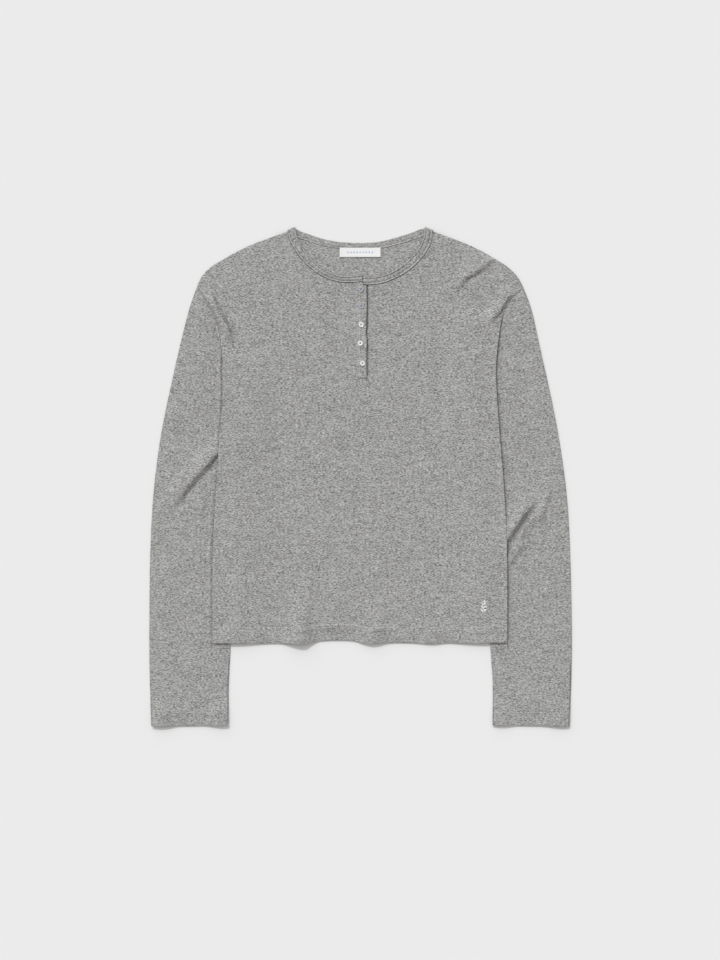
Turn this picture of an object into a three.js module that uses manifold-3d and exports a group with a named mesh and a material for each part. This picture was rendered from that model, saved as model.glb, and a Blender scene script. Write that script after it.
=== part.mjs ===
// A long-sleeved henley shirt in thin grey jersey, laid flat on its back.
// Millimetres. +X is across the shirt, +Y runs towards the neck, +Z is up from the surface.
// The origin is on the surface, under the middle of the whole outline.

import * as THREE from "three";
import loadManifold from "manifold-3d";

const manifold = await loadManifold();
manifold.setup();
const { Manifold } = manifold;

// ---------- Cloth ----------

const WALL = 1.0;
const LAYER_GAP = 0.4;
const LAYER = WALL + LAYER_GAP;
const SEAM_GAP = 0.3;
const SLEEVE_HEIGHT = LAYER + WALL;
// How far the back panel stands over a sleeve that is tucked under it.
const TUCK_GAP = 1.4;
const TUCK_LIFT = SLEEVE_HEIGHT + TUCK_GAP;

// ---------- Body outline: each row is one point, x and y ----------

// Along the hem, from the left side seam to the right one.
const HEM = [
  { x: -214, y: -241.5 },
  { x: -150, y: -241.5 },
  { x: -92, y: -241.9 },
  { x: -76, y: -240.6 },
  { x: -57, y: -237.8 },
  { x: -30, y: -237 },
  { x: -12, y: -237.8 },
  { x: 4, y: -240.8 },
  { x: 16, y: -241.8 },
  { x: 34, y: -240.8 },
  { x: 66, y: -240.5 },
  { x: 98, y: -241.8 },
  { x: 126, y: -241 },
  { x: 170, y: -241.2 },
  { x: 212.6, y: -240 },
];

// From the hem up to where the sleeve is fully tucked under the body.
const LEFT_EDGE = [
  HEM[0],
  { x: -214, y: -120 },
  { x: -210, y: -34 },
  { x: -203, y: 69 },
  { x: -200, y: 107 },
  { x: -199.5, y: 164 },
];
const RIGHT_EDGE = [
  HEM.at(-1),
  { x: 212, y: -100 },
  { x: 207, y: -5 },
  { x: 201, y: 69 },
  { x: 196.3, y: 144 },
  { x: 198, y: 182 },
  { x: 203, y: 220 },
];
// On from there, up to where the seam of the sleeve comes out from under the body.
const LEFT_TUCK = [LEFT_EDGE.at(-1), { x: -200.5, y: 177 }, { x: -202.5, y: 190 }];
const RIGHT_TUCK = [RIGHT_EDGE.at(-1), { x: 206, y: 233 }, { x: 211, y: 245 }];
// On from there, up the open part of the armhole to the shoulder point.
const LEFT_ARMHOLE = [
  LEFT_TUCK.at(-1),
  { x: -204.5, y: 209 },
  { x: -210.5, y: 228 },
  { x: -222, y: 250 },
  { x: -236.5, y: 276 },
];
const RIGHT_ARMHOLE = [
  RIGHT_TUCK.at(-1),
  { x: 217.5, y: 256.5 },
  { x: 225.5, y: 264.5 },
  { x: 235.8, y: 274.5 },
];
const LEFT_SHOULDER = [
  LEFT_ARMHOLE.at(-1),
  { x: -231, y: 288.5 },
  { x: -221, y: 300 },
  { x: -205, y: 311.4 },
  { x: -161.7, y: 334.5 },
  { x: -105.4, y: 355.5 },
];
const RIGHT_SHOULDER = [
  RIGHT_ARMHOLE.at(-1),
  { x: 229, y: 287.5 },
  { x: 218.2, y: 299.7 },
  { x: 202.3, y: 311.3 },
  { x: 160.2, y: 334.5 },
  { x: 104.9, y: 355.5 },
];

// ---------- Placket: a slit in the front, an under strip in it and an upper strip over it ----------

const SLIT_LEFT = -2.5;
const SLIT_RIGHT = 10.9;
const SLIT_FOOT = 146;
const STRIP_LEFT = -5.5;
const STRIP_RIGHT = 9.3;
const STRIP_FOOT = 143.5;
const UNDER_RIGHT = 9.2;
const STRIP_ROWS = 8;
// How far left of the join in the neckband the top of each strip steps down.
const STRIP_STEP = SEAM_GAP / 2;
// The free edge of the upper strip pulls in between its buttons.
const STRIP_WAVE = 0.7;
const STRIP_WAVE_PITCH = 53.6;

// ---------- Neckband: each row is one station, its free edge and its seam edge ----------

const BAND_WALL = 1.2;
// Between the front and the back of the band, which holds the front off the back round the neck.
const BAND_GAP = 1.8;
const NECK_RISE = BAND_GAP - LAYER_GAP;
const NECK_REACH = 42;
const BAND_END = 3.15;
const LEFT_BAND = [
  { freeX: SLIT_LEFT, freeY: 291.8, seamX: SLIT_LEFT, seamY: 282 },
  { freeX: -14, freeY: 290.7, seamX: -15, seamY: 281.3 },
  { freeX: -27, freeY: 290.4, seamX: -30, seamY: 282 },
  { freeX: -43, freeY: 295.5, seamX: -48, seamY: 287 },
  { freeX: -57, freeY: 303.4, seamX: -65, seamY: 296.6 },
  { freeX: -73, freeY: 317.5, seamX: -82, seamY: 311 },
  { freeX: -86, freeY: 336, seamX: -96, seamY: 330 },
  { freeX: -92, freeY: 348.3, seamX: -103, seamY: 344 },
  { freeX: -94.3, freeY: 360, seamX: -105, seamY: 355.7 },
];
const RIGHT_BAND = [
  { freeX: SLIT_RIGHT, freeY: 289, seamX: SLIT_RIGHT, seamY: 277.8 },
  { freeX: 20, freeY: 289.4, seamX: 21.5, seamY: 278.5 },
  { freeX: 31, freeY: 291.6, seamX: 34.5, seamY: 280.9 },
  { freeX: 43.5, freeY: 295.6, seamX: 48.5, seamY: 286.5 },
  { freeX: 57, freeY: 303.8, seamX: 64, seamY: 294.6 },
  { freeX: 72, freeY: 316, seamX: 80.5, seamY: 307.3 },
  { freeX: 84, freeY: 330.5, seamX: 94, seamY: 323 },
  { freeX: 90.8, freeY: 346, seamX: 102.6, seamY: 339.5 },
  { freeX: 92.9, freeY: 360.1, seamX: 104.5, seamY: 355.7 },
];
// The same band along the back neck, from the left fold to the right fold.
const BACK_BAND = [
  LEFT_BAND.at(-1),
  { freeX: -86, freeY: 355.4, seamX: -93.5, seamY: 347.6 },
  { freeX: -74, freeY: 351.4, seamX: -79.5, seamY: 342.3 },
  { freeX: -62, freeY: 347.2, seamX: -66, seamY: 337.6 },
  { freeX: -50, freeY: 343.8, seamX: -52.5, seamY: 333.9 },
  { freeX: -38, freeY: 341.5, seamX: -39.5, seamY: 331.6 },
  { freeX: -26, freeY: 340, seamX: -27, seamY: 330 },
  { freeX: -14, freeY: 339.2, seamX: -14.5, seamY: 329.2 },
  { freeX: SLIT_LEFT, freeY: 339, seamX: SLIT_LEFT, seamY: 329 },
  { freeX: SLIT_RIGHT, freeY: 339.1, seamX: SLIT_RIGHT, seamY: 329.1 },
  { freeX: 20, freeY: 339.8, seamX: 20.5, seamY: 329.7 },
  { freeX: 31, freeY: 341.6, seamX: 32, seamY: 331.3 },
  { freeX: 42.5, freeY: 344.2, seamX: 44.5, seamY: 333.8 },
  { freeX: 54, freeY: 347.4, seamX: 57, seamY: 337.2 },
  { freeX: 66, freeY: 351, seamX: 70, seamY: 341 },
  { freeX: 75.5, freeY: 354.2, seamX: 81.5, seamY: 344.8 },
  { freeX: 85, freeY: 358.2, seamX: 93.5, seamY: 349.3 },
  RIGHT_BAND.at(-1),
];
const BAND_TURNS = 5;
const BAND_FOLD = (BAND_WALL + BAND_GAP) / 2;

// ---------- Sleeves ----------

// Down the fold on the outside of each sleeve, from the shoulder point to the cuff.
const LEFT_SLEEVE_OUTER = [
  { x: -248.7, y: 241.7 },
  { x: -263.2, y: 183.7 },
  { x: -276.2, y: 125.7 },
  { x: -288, y: 67.7 },
  { x: -296.5, y: 9.7 },
  { x: -302, y: -48.3 },
  { x: -305, y: -120.8 },
  { x: -306, y: -200 },
  { x: -306, y: -270 },
  { x: -304, y: -340 },
  { x: -303, y: -361.6 },
];
const RIGHT_SLEEVE_OUTER = [
  { x: 248, y: 241.7 },
  { x: 261, y: 183.7 },
  { x: 274, y: 125.7 },
  { x: 285.5, y: 67.7 },
  { x: 294.5, y: 9.7 },
  { x: 300.6, y: -48.3 },
  { x: 304, y: -120.8 },
  { x: 306, y: -210 },
  { x: 306, y: -270 },
  { x: 304.2, y: -330 },
  { x: 302.5, y: -361.6 },
];
// Down the under-arm edge, which lies under the body as far as the hem.
const LEFT_SLEEVE_INNER = [
  { x: -181, y: 95 },
  { x: -180.5, y: 20 },
  { x: -182, y: -80 },
  { x: -185.5, y: -180 },
  { x: -188.5, y: -244 },
  { x: -191, y: -301 },
  { x: -192, y: -360 },
];
const RIGHT_SLEEVE_INNER = [
  { x: 176, y: 110 },
  { x: 176.5, y: 20 },
  { x: 180, y: -80 },
  { x: 184.5, y: -180 },
  { x: 188, y: -244 },
  { x: 191.5, y: -301 },
  { x: 191, y: -360 },
];
// Sections from the armhole to the cuff: how far up each one meets the two edges.
// They close up where the elbow fold crosses the sleeve.
const LEFT_SECTIONS = [
  { outerY: 232, innerY: 91 },
  { outerY: 184, innerY: 87 },
  { outerY: 136, innerY: 83 },
  { outerY: 88, innerY: 79 },
  { outerY: 40, innerY: 75 },
  { outerY: -5, innerY: 71 },
  { outerY: -44, innerY: 66 },
  { outerY: -68, innerY: 58 },
  { outerY: -82, innerY: 48 },
  { outerY: -96, innerY: 36 },
  { outerY: -128, innerY: 0 },
  { outerY: -162, innerY: -54 },
  { outerY: -200, innerY: -118 },
  { outerY: -240, innerY: -186 },
  { outerY: -282, innerY: -250 },
  { outerY: -324, innerY: -310 },
];
const RIGHT_SECTIONS = [
  { outerY: 236, innerY: 88 },
  { outerY: 200, innerY: 64 },
  { outerY: 166, innerY: 36 },
  { outerY: 134, innerY: 4 },
  { outerY: 104, innerY: -30 },
  { outerY: 76, innerY: -66 },
  { outerY: 52, innerY: -102 },
  { outerY: 37, innerY: -124 },
  { outerY: 24, innerY: -140 },
  { outerY: 11, innerY: -156 },
  { outerY: -20, innerY: -176 },
  { outerY: -70, innerY: -202 },
  { outerY: -124, innerY: -228 },
  { outerY: -182, innerY: -256 },
  { outerY: -242, innerY: -288 },
  { outerY: -302, innerY: -324 },
];

// ---------- Rise of the cloth ----------

// How far in from the body's edge the tucked sleeve holds it up, and how far each panel slopes
// down from there: the front one bridges over the sleeve.
const TUCK_REACH = 31;
const BACK_SLOPE = 16;
const FRONT_SLOPE = 64;
const FRONT_PUFF = 1.0;
const SLEEVE_PUFF = 1.2;
const PUFF_EDGE = 40;
const FOLD_EDGE = 12;
// Below 1, a fold keeps its height for longer before it runs out at each end.
const FOLD_ENDS = 0.5;
const SLEEVE_PUFF_EDGE = 22;

// Where both layers stand off the surface, at waves of the hem and over the elbow folds of the
// sleeves: middle, reach across and up, and rise.
const BODY_LIFTS = [
  { x: -206, y: 22, reachX: 36, reachY: 48, rise: 1.6 },
  { x: 213, y: -102, reachX: 38, reachY: 52, rise: 2.2 },
  { x: -88, y: -243, reachX: 40, reachY: 90, rise: 8 },
  { x: 17, y: -242, reachX: 30, reachY: 56, rise: 4.8 },
  { x: 104, y: -242, reachX: 26, reachY: 44, rise: 2.2 },
];
const LEFT_CUFF_LIFTS = [
  { x: -290, y: -362, reachX: 30, reachY: 56, rise: 4.4 },
  { x: -201, y: -361, reachX: 28, reachY: 56, rise: 4.4 },
];
const RIGHT_CUFF_LIFTS = [
  { x: 203, y: -361, reachX: 26, reachY: 50, rise: 3.2 },
  { x: 290, y: -362, reachX: 30, reachY: 56, rise: 3.4 },
];

// Folds of one layer, as ridges: both ends, half the width and the rise.
const FRONT_FOLDS = [
  { fromX: -224, fromY: 262, toX: -192, toY: 196, half: 17, rise: 2.2 },
  { fromX: 200, fromY: 322, toX: 136, toY: 268, half: 17, rise: 2.4 },
  { fromX: 214, fromY: 248, toX: 180, toY: 206, half: 16, rise: 1.8 },
  { fromX: -72, fromY: -120, toX: -84, toY: -235, half: 22, rise: 2.2 },
  { fromX: 118, fromY: 350, toX: 128, toY: 296, half: 22, rise: 1.4 },
];
const LEFT_SLEEVE_FOLDS = [
  { fromX: -196, fromY: 42, toX: -282, toY: -58, half: 13, rise: 4.2 },
  { fromX: -205, fromY: 4, toX: -262, toY: -72, half: 14, rise: 1.6 },
];
const RIGHT_SLEEVE_FOLDS = [
  { fromX: 204, fromY: -108, toX: 274, toY: -12, half: 14, rise: 4.2 },
  { fromX: 270, fromY: -70, toX: 290, toY: 0, half: 14, rise: 1.4 },
];

// ---------- Trim ----------

const BUTTON_RADIUS = 3.8;
const BUTTON_THICKNESS = 1.4;
const BUTTON_BEVEL = 0.3;
const BUTTON_RIM = 1.1;
const BUTTON_DISH = 0.35;
const BUTTON_HOLE_RADIUS = 0.5;
const BUTTON_HOLE_OFFSET = 1.1;
const BUTTON_HOLES = 4;
const BUTTONS = [
  { x: 0.7, y: 271.4 },
  { x: 1.3, y: 247.1 },
  { x: 0.9, y: 220.3 },
  { x: -0.3, y: 193.3 },
  { x: 3.0, y: 164.1 },
];
const LABEL = { x: -0.5, y: 325.1, width: 59.3, height: 13.5, thickness: 0.5 };

// ---------- Mesh density ----------

const ROWS_TO_TUCK = 17;
const ROWS_IN_TUCK = 3;
const ROWS_IN_ARMHOLE = 5;
const ROWS_TO_SLIT_FOOT = ROWS_TO_TUCK + ROWS_IN_TUCK;
const ROWS_IN_SLIT = ROWS_IN_ARMHOLE;
const SHOULDER_COLUMNS = 5;
const SLEEVE_UNDER_COLUMNS = 2;
const EDGE_READINGS = 60;
// Above 1, the shape of the far edge of a patch reaches mostly the rows near it.
const PATCH_SHARPNESS = 3;
const FOLD_DEPTH = 1.2;
const HOLLOW_INSET = WALL + FOLD_DEPTH / 2;
const BUTTON_FACETS = 20;
const HOLE_FACETS = 6;
const DRILL_LENGTH = 3 * BUTTON_THICKNESS;

// ---------- Colours ----------

const JERSEY = { color: 0x9d9d9b, roughness: 0.95, metalness: 0 };
const RIB = { color: 0x999997, roughness: 0.95, metalness: 0 };
const PEARL = { color: 0xecebe6, roughness: 0.3, metalness: 0 };
const WOVEN = { color: 0xf0f0ef, roughness: 0.8, metalness: 0 };

// ---------- Curves and heights ----------

const smooth = (share) => THREE.MathUtils.smoothstep(share, 0, 1);

const point = (x, y) => new THREE.Vector2(x, y);

function spaced(rows, parts) {
  const curve = new THREE.SplineCurve(rows.map(({ x, y }) => point(x, y)));
  return curve.getSpacedPoints(parts);
}

const joined = (...runs) => runs.reduce((whole, run) => [...whole, ...run.slice(1)]);

// Reads one axis of a line of points at a place on the other axis, which rises along the line.
function readLine(line, known, place, wanted) {
  const above = line.findIndex((end) => end[known] >= place);
  if (above === 0) return line[0][wanted];
  if (above < 0) return line.at(-1)[wanted];
  const start = line[above - 1];
  const end = line[above];
  return THREE.MathUtils.mapLinear(place, start[known], end[known], start[wanted], end[wanted]);
}

const leftEdge = spaced(LEFT_EDGE, ROWS_TO_TUCK);
const rightEdge = spaced(RIGHT_EDGE, ROWS_TO_TUCK);
const leftTuck = spaced(LEFT_TUCK, ROWS_IN_TUCK);
const rightTuck = spaced(RIGHT_TUCK, ROWS_IN_TUCK);
const leftArmhole = spaced(LEFT_ARMHOLE, ROWS_IN_ARMHOLE);
const rightArmhole = spaced(RIGHT_ARMHOLE, ROWS_IN_ARMHOLE);
const hemLine = spaced(HEM, EDGE_READINGS);
const leftSide = joined(leftEdge, leftTuck, leftArmhole);
const rightSide = joined(rightEdge, rightTuck, rightArmhole);

const seamPoint = ({ seamX, seamY }) => point(seamX, seamY);
const leftShoulder = spaced(LEFT_SHOULDER, SHOULDER_COLUMNS);
const rightShoulder = spaced(RIGHT_SHOULDER, SHOULDER_COLUMNS);
const leftNeck = LEFT_BAND.map(seamPoint).reverse();
const rightNeck = RIGHT_BAND.map(seamPoint);
const neckLine = spaced([...leftNeck, ...rightNeck], EDGE_READINGS);
const frontTop = [...leftShoulder, ...leftNeck.slice(1), ...rightNeck, ...rightShoulder.toReversed()];

// How far a point is inside the body's edge on one side; below 0 it is outside.
const insideLeft = (x, y) => x - readLine(leftSide, "y", y, "x");
const insideRight = (x, y) => readLine(rightSide, "y", y, "x") - x;
const belowTop = (x, y) => readLine(frontTop, "x", x, "y") - y;

function fromNeck(x, y) {
  const here = point(x, y);
  return Math.min(...neckLine.map((place) => place.distanceTo(here)));
}

function tuckShare(inside, y, tuck, slope) {
  const across = 1 - smooth((inside - TUCK_REACH) / slope);
  const up = 1 - smooth((y - tuck[0].y) / (tuck.at(-1).y - tuck[0].y));
  return across * up;
}

function liftAt(lifts, x, y) {
  let rise = 0;
  for (const lift of lifts) {
    const reach = Math.hypot((x - lift.x) / lift.reachX, (y - lift.y) / lift.reachY);
    rise += lift.rise * smooth(1 - reach);
  }
  return rise;
}

function foldAt(folds, x, y) {
  let rise = 0;
  for (const fold of folds) {
    const from = point(fold.fromX, fold.fromY);
    const run = point(fold.toX, fold.toY).sub(from);
    const here = point(x, y).sub(from);
    const along = here.dot(run) / run.lengthSq();
    const off = Math.abs(here.cross(run)) / run.length();
    const ends = Math.sin(Math.PI * THREE.MathUtils.clamp(along, 0, 1)) ** FOLD_ENDS;
    rise += fold.rise * ends * smooth(1 - off / fold.half);
  }
  return rise;
}

// How far the tucked sleeves and the waves of the hem hold a panel off the surface.
function panelRise(x, y, slope) {
  const left = tuckShare(insideLeft(x, y), y, LEFT_TUCK, slope);
  const right = tuckShare(insideRight(x, y), y, RIGHT_TUCK, slope);
  return TUCK_LIFT * (left + right) + liftAt(BODY_LIFTS, x, y);
}

// The underside of the back panel.
const backFloor = (x, y) => panelRise(x, y, BACK_SLOPE);

// The underside of the front panel.
function frontFloor(x, y) {
  const fromSeam = Math.min(insideLeft(x, y), insideRight(x, y), belowTop(x, y));
  const fromEdge = Math.min(fromSeam, y - readLine(hemLine, "x", x, "y"));
  const puff = FRONT_PUFF * smooth(fromEdge / PUFF_EDGE);
  const folds = foldAt(FRONT_FOLDS, x, y) * smooth(fromSeam / FOLD_EDGE);
  const neck = NECK_RISE * smooth(1 - fromNeck(x, y) / NECK_REACH);
  return panelRise(x, y, FRONT_SLOPE) + LAYER + Math.max(puff, neck) + folds;
}

// ---------- Closed solids from grids ----------

// Rows of points between four edges, each edge kept exactly. across and up are the
// places of the columns and rows, from 0 to 1; the top edge shapes mostly the rows near it.
function patch(bottom, top, left, right, across, up) {
  const corner = [bottom[0], bottom.at(-1), top[0], top.at(-1)];
  return up.map((v, row) => across.map((u, column) => {
    const between = left[row].clone().lerp(right[row], u);
    const shaped = bottom[column].clone().lerp(top[column], v);
    const low = corner[0].clone().lerp(corner[1], u);
    const high = corner[2].clone().lerp(corner[3], u);
    return between.add(shaped).sub(low.lerp(high, v));
  }));
}

const quad = (a, b, c, d) => [a, b, c, a, c, d];

function volume(vertices, corners) {
  const at = (index) => new THREE.Vector3(...vertices[corners[index]]);
  let total = 0;
  for (let first = 0; first < corners.length; first += 3) {
    total += at(first).dot(at(first + 1).cross(at(first + 2)));
  }
  return total;
}

// A closed body from a list of vertices and the corners of its triangles, turned to face out.
function closedBody(vertices, triangles) {
  const corners = triangles.flat();
  const facing = volume(vertices, corners) > 0 ? corners : corners.toReversed();
  const shape = new THREE.BufferGeometry();
  shape.setAttribute("position", new THREE.Float32BufferAttribute(vertices.flat(), 3));
  shape.setIndex(facing);
  shape.computeVertexNormals();
  return shape;
}

// A wall over a grid of points: floorAt gives its underside. skipped leaves out a cell.
function sheet(rows, floorAt, wall, skipped = () => false) {
  const width = rows[0].length;
  const vertices = [];
  const triangles = [];
  for (const row of rows) {
    for (const { x, y } of row) {
      const floor = floorAt(x, y);
      vertices.push([x, y, floor], [x, y, floor + wall]);
    }
  }
  const under = (row, column) => 2 * (row * width + column);
  const over = (row, column) => under(row, column) + 1;
  const filled = (row, column) =>
    row >= 0 && column >= 0 && row < rows.length - 1 && column < width - 1 && !skipped(row, column);
  for (let row = 0; row < rows.length - 1; row += 1) {
    for (let column = 0; column < width - 1; column += 1) {
      if (!filled(row, column)) continue;
      const corners = [[row, column], [row, column + 1], [row + 1, column + 1], [row + 1, column]];
      triangles.push(quad(...corners.map((at) => over(...at))));
      triangles.push(quad(...corners.map((at) => under(...at)).reverse()));
      const neighbours = [[row - 1, column], [row, column + 1], [row + 1, column], [row, column - 1]];
      neighbours.forEach((neighbour, side) => {
        if (filled(...neighbour)) return;
        const from = corners[side];
        const to = corners[(side + 1) % corners.length];
        triangles.push(quad(under(...from), under(...to), over(...to), over(...from)));
      });
    }
  }
  return closedBody(vertices, triangles);
}

// A closed strip through sections that all have the same number of points.
function strip(sections) {
  const around = sections[0].length;
  const triangles = [];
  for (let section = 0; section < sections.length - 1; section += 1) {
    for (let side = 0; side < around; side += 1) {
      const next = (side + 1) % around;
      const here = section * around;
      const there = here + around;
      triangles.push(quad(here + side, here + next, there + next, there + side));
    }
  }
  const last = (sections.length - 1) * around;
  for (let side = 1; side < around - 1; side += 1) {
    triangles.push([0, side + 1, side], [last, last + side, last + side + 1]);
  }
  return closedBody(sections.flat(), triangles);
}

// The triangles between two rings of the same length that start at the two given vertices.
function ringWall(first, second, around) {
  const triangles = [];
  for (let side = 0; side < around; side += 1) {
    const next = (side + 1) % around;
    triangles.push(quad(first + side, first + next, second + next, second + side));
  }
  return triangles;
}

// The flat end between an outer ring and an inner one. matching gives the inner place of an outer one.
function ringEnd(outer, inner, around, matching) {
  const triangles = [];
  for (let side = 0; side < around; side += 1) {
    const next = (side + 1) % around;
    const near = inner + matching(side);
    const far = inner + matching(next);
    triangles.push([outer + next, outer + side, near]);
    if (near !== far) triangles.push([outer + next, near, far]);
  }
  return triangles;
}

// A flattened tube with open ends. Each section has a ring outside and a ring inside.
function tube(outside, inside, matching) {
  const around = outside[0].length;
  const within = inside[0].length;
  const innerStart = outside.length * around;
  const triangles = [];
  for (let section = 0; section < outside.length - 1; section += 1) {
    const outer = section * around;
    const inner = innerStart + section * within;
    triangles.push(...ringWall(outer, outer + around, around));
    triangles.push(...ringWall(inner + within, inner, within));
  }
  const lastOuter = innerStart - around;
  const lastInner = innerStart + (inside.length - 1) * within;
  triangles.push(...ringEnd(0, innerStart, around, matching));
  const farEnd = ringEnd(lastOuter, lastInner, around, matching);
  triangles.push(...farEnd.map((corners) => corners.toReversed()));
  return closedBody([...outside.flat(), ...inside.flat()], triangles);
}

// ---------- Body panels ----------

function halfColumns(side, centreX) {
  const start = side[0].x;
  const inward = Math.sign(centreX - start);
  const ramp = [0, TUCK_REACH / 2, TUCK_REACH, TUCK_REACH + BACK_SLOPE];
  const first = start + inward * ramp.at(-1);
  const others = SHOULDER_COLUMNS + LEFT_BAND.length - ramp.length;
  const spacing = (centreX - first) / others;
  const rest = Array.from({ length: others }, (_, step) => first + spacing * (step + 1));
  return [...ramp.map((distance) => start + inward * distance), ...rest];
}

// One half of a panel, from its side seam to the line of the slit. top runs from the shoulder in.
function halfPanel(side, top) {
  const columns = halfColumns(side, top.at(-1).x);
  const hem = columns.map((x) => point(x, readLine(hemLine, "x", x, "y")));
  const foot = point(columns.at(-1), SLIT_FOOT);
  const centre = joined(
    spaced([hem.at(-1), foot], ROWS_TO_SLIT_FOOT),
    spaced([foot, top.at(-1)], ROWS_IN_SLIT),
  );
  const across = columns.map((x) => (x - columns[0]) / (columns.at(-1) - columns[0]));
  const up = side.map((_, row) => (row / (side.length - 1)) ** PATCH_SHARPNESS);
  return patch(hem, top, side, centre, across, up);
}

// leftTop and rightTop run from each shoulder point to the slit.
function panelRows(leftTop, rightTop) {
  const left = halfPanel(leftSide, leftTop);
  const right = halfPanel(rightSide, rightTop);
  return left.map((row, index) => [...row, ...right[index].toReversed()]);
}

function frontPanel() {
  const rows = panelRows(joined(leftShoulder, leftNeck), joined(rightShoulder, rightNeck.toReversed()));
  const slitColumn = SHOULDER_COLUMNS + LEFT_BAND.length - 1;
  const inSlit = (row, column) => column === slitColumn && row >= ROWS_TO_SLIT_FOOT;
  return sheet(rows, frontFloor, WALL, inSlit);
}

function backPanel() {
  const neck = BACK_BAND.map(seamPoint);
  const half = neck.length / 2;
  const rows = panelRows(
    joined(leftShoulder, neck.slice(0, half)),
    joined(rightShoulder, neck.slice(half).reverse()),
  );
  return sheet(rows, backFloor, WALL);
}

// ---------- Neckband ----------

// The two edges of a station as a section of the band, turned about its fold by an angle.
function bandSection(station, height, turn) {
  const free = point(station.freeX, station.freeY);
  const seam = point(station.seamX, station.seamY);
  const across = seam.clone().sub(free).normalize();
  seam.addScaledVector(across, -SEAM_GAP);
  const out = point(across.y, -across.x);
  if (out.y < 0) out.negate();
  const lift = Math.cos(turn);
  const reach = Math.sin(turn);
  const place = (edge, offset) => [
    edge.x + out.x * reach * (BAND_FOLD + offset),
    edge.y + out.y * reach * (BAND_FOLD + offset),
    height + lift * (BAND_FOLD + offset),
  ];
  const half = BAND_WALL / 2;
  return [place(free, -half), place(free, half), place(seam, half), place(seam, -half)];
}

function neckband() {
  const middle = BAND_WALL + BAND_GAP / 2;
  const ended = (station, x) => ({ ...station, freeX: x, seamX: x });
  const leftEnd = ended(LEFT_BAND[0], BAND_END - SEAM_GAP / 2);
  const rightEnd = ended(RIGHT_BAND[0], BAND_END + SEAM_GAP / 2);
  const lying = (stations, turn) => stations.map((station) => bandSection(station, middle, turn));
  const fold = (station) =>
    Array.from({ length: BAND_TURNS }, (_, step) =>
      bandSection(station, middle, (Math.PI * (step + 1)) / (BAND_TURNS + 1)));
  return strip([
    ...lying([leftEnd, ...LEFT_BAND], 0),
    ...fold(LEFT_BAND.at(-1)),
    ...lying(BACK_BAND, Math.PI),
    ...fold(RIGHT_BAND.at(-1)).reverse(),
    ...lying([rightEnd, ...RIGHT_BAND], 0).reverse(),
  ]);
}

// ---------- Sleeves ----------

// Moves a line sideways, to its right as it runs, or to its left for a gap below 0.
function besideLine(line, gap) {
  return line.map((place, index) => {
    const ahead = line[Math.min(index + 1, line.length - 1)];
    const behind = line[Math.max(index - 1, 0)];
    const run = ahead.clone().sub(behind).normalize();
    return point(place.x + run.y * gap, place.y - run.x * gap);
  });
}

// Draws both ends of a row in by a distance, which leaves room for the rounded fold there.
function drawnIn(row, distance) {
  const moved = (edge, next) => {
    const inward = next.clone().sub(edge).normalize();
    return edge.clone().addScaledVector(inward, distance);
  };
  return [moved(row[0], row[1]), ...row.slice(1, -1), moved(row.at(-1), row.at(-2))];
}

// The rows of a sleeve, from its seam with the body to its cuff.
function sleeveRows(seam, outerEdge, innerEdge, sections) {
  const onEdge = (edge, y) => point(readLine(edge, "y", y, "x"), y);
  const outer = [seam[0], ...sections.map(({ outerY }) => onEdge(outerEdge, outerY)), outerEdge[0]];
  const inner = [seam.at(-1), ...sections.map(({ innerY }) => onEdge(innerEdge, innerY)), innerEdge[0]];
  const across = seam.map((_, column) => column / (seam.length - 1));
  const down = outer.map((_, row) => 1 - (1 - row / (outer.length - 1)) ** PATCH_SHARPNESS);
  const cuff = across.map((share) => outer.at(-1).clone().lerp(inner.at(-1), share));
  return patch(seam, cuff, outer, inner, across, down);
}

// A sleeve as a flattened tube, open at the armhole and the cuff.
function sleeve({ armhole, tuck, outer, inner, sections, lifts, folds, inside, outward }) {
  const open = joined(armhole.toReversed(), tuck.toReversed());
  const under = spaced([open.at(-1), inner[0]], SLEEVE_UNDER_COLUMNS);
  const seam = [...besideLine(open, outward * SEAM_GAP), ...under.slice(1)];
  const outerEdge = spaced([seam[0], ...outer], EDGE_READINGS).reverse();
  const innerEdge = spaced(inner, EDGE_READINGS).reverse();
  const rows = sleeveRows(seam, outerEdge, innerEdge, sections);

  const lowerFloor = (x, y) => liftAt(lifts, x, y);
  const upperFloor = (x, y) => {
    const fromFold = Math.abs(x - readLine(outerEdge, "y", y, "x"));
    const fromEdge = Math.min(-inside(x, y), fromFold, y - outerEdge[0].y);
    const puff = SLEEVE_PUFF * smooth(fromEdge / SLEEVE_PUFF_EDGE);
    return lowerFloor(x, y) + LAYER + puff + foldAt(folds, x, y) * smooth(fromEdge / FOLD_EDGE);
  };
  const at = (height, raise) => ({ x, y }) => [x, y, height(x, y) + raise];
  const outside = rows.map((row) => {
    const lying = drawnIn(row, FOLD_DEPTH);
    return [
      ...lying.map(at(upperFloor, WALL)),
      at(lowerFloor, SLEEVE_HEIGHT / 2)(row.at(-1)),
      ...lying.toReversed().map(at(lowerFloor, 0)),
      at(lowerFloor, SLEEVE_HEIGHT / 2)(row[0]),
    ];
  });
  const hollow = rows.map((row) => {
    const lying = drawnIn(row, HOLLOW_INSET);
    return [...lying.map(at(upperFloor, 0)), ...lying.toReversed().map(at(lowerFloor, WALL))];
  });
  const lastUpper = seam.length - 1;
  const matching = (side) => Math.min(side > lastUpper ? side - 1 : side, 2 * seam.length - 1);
  return tube(outside, hollow, matching);
}

// ---------- Placket, buttons and label ----------

const onFront = (layers) => (x, y) => frontFloor(x, y) + layers * (WALL + SEAM_GAP);

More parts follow.
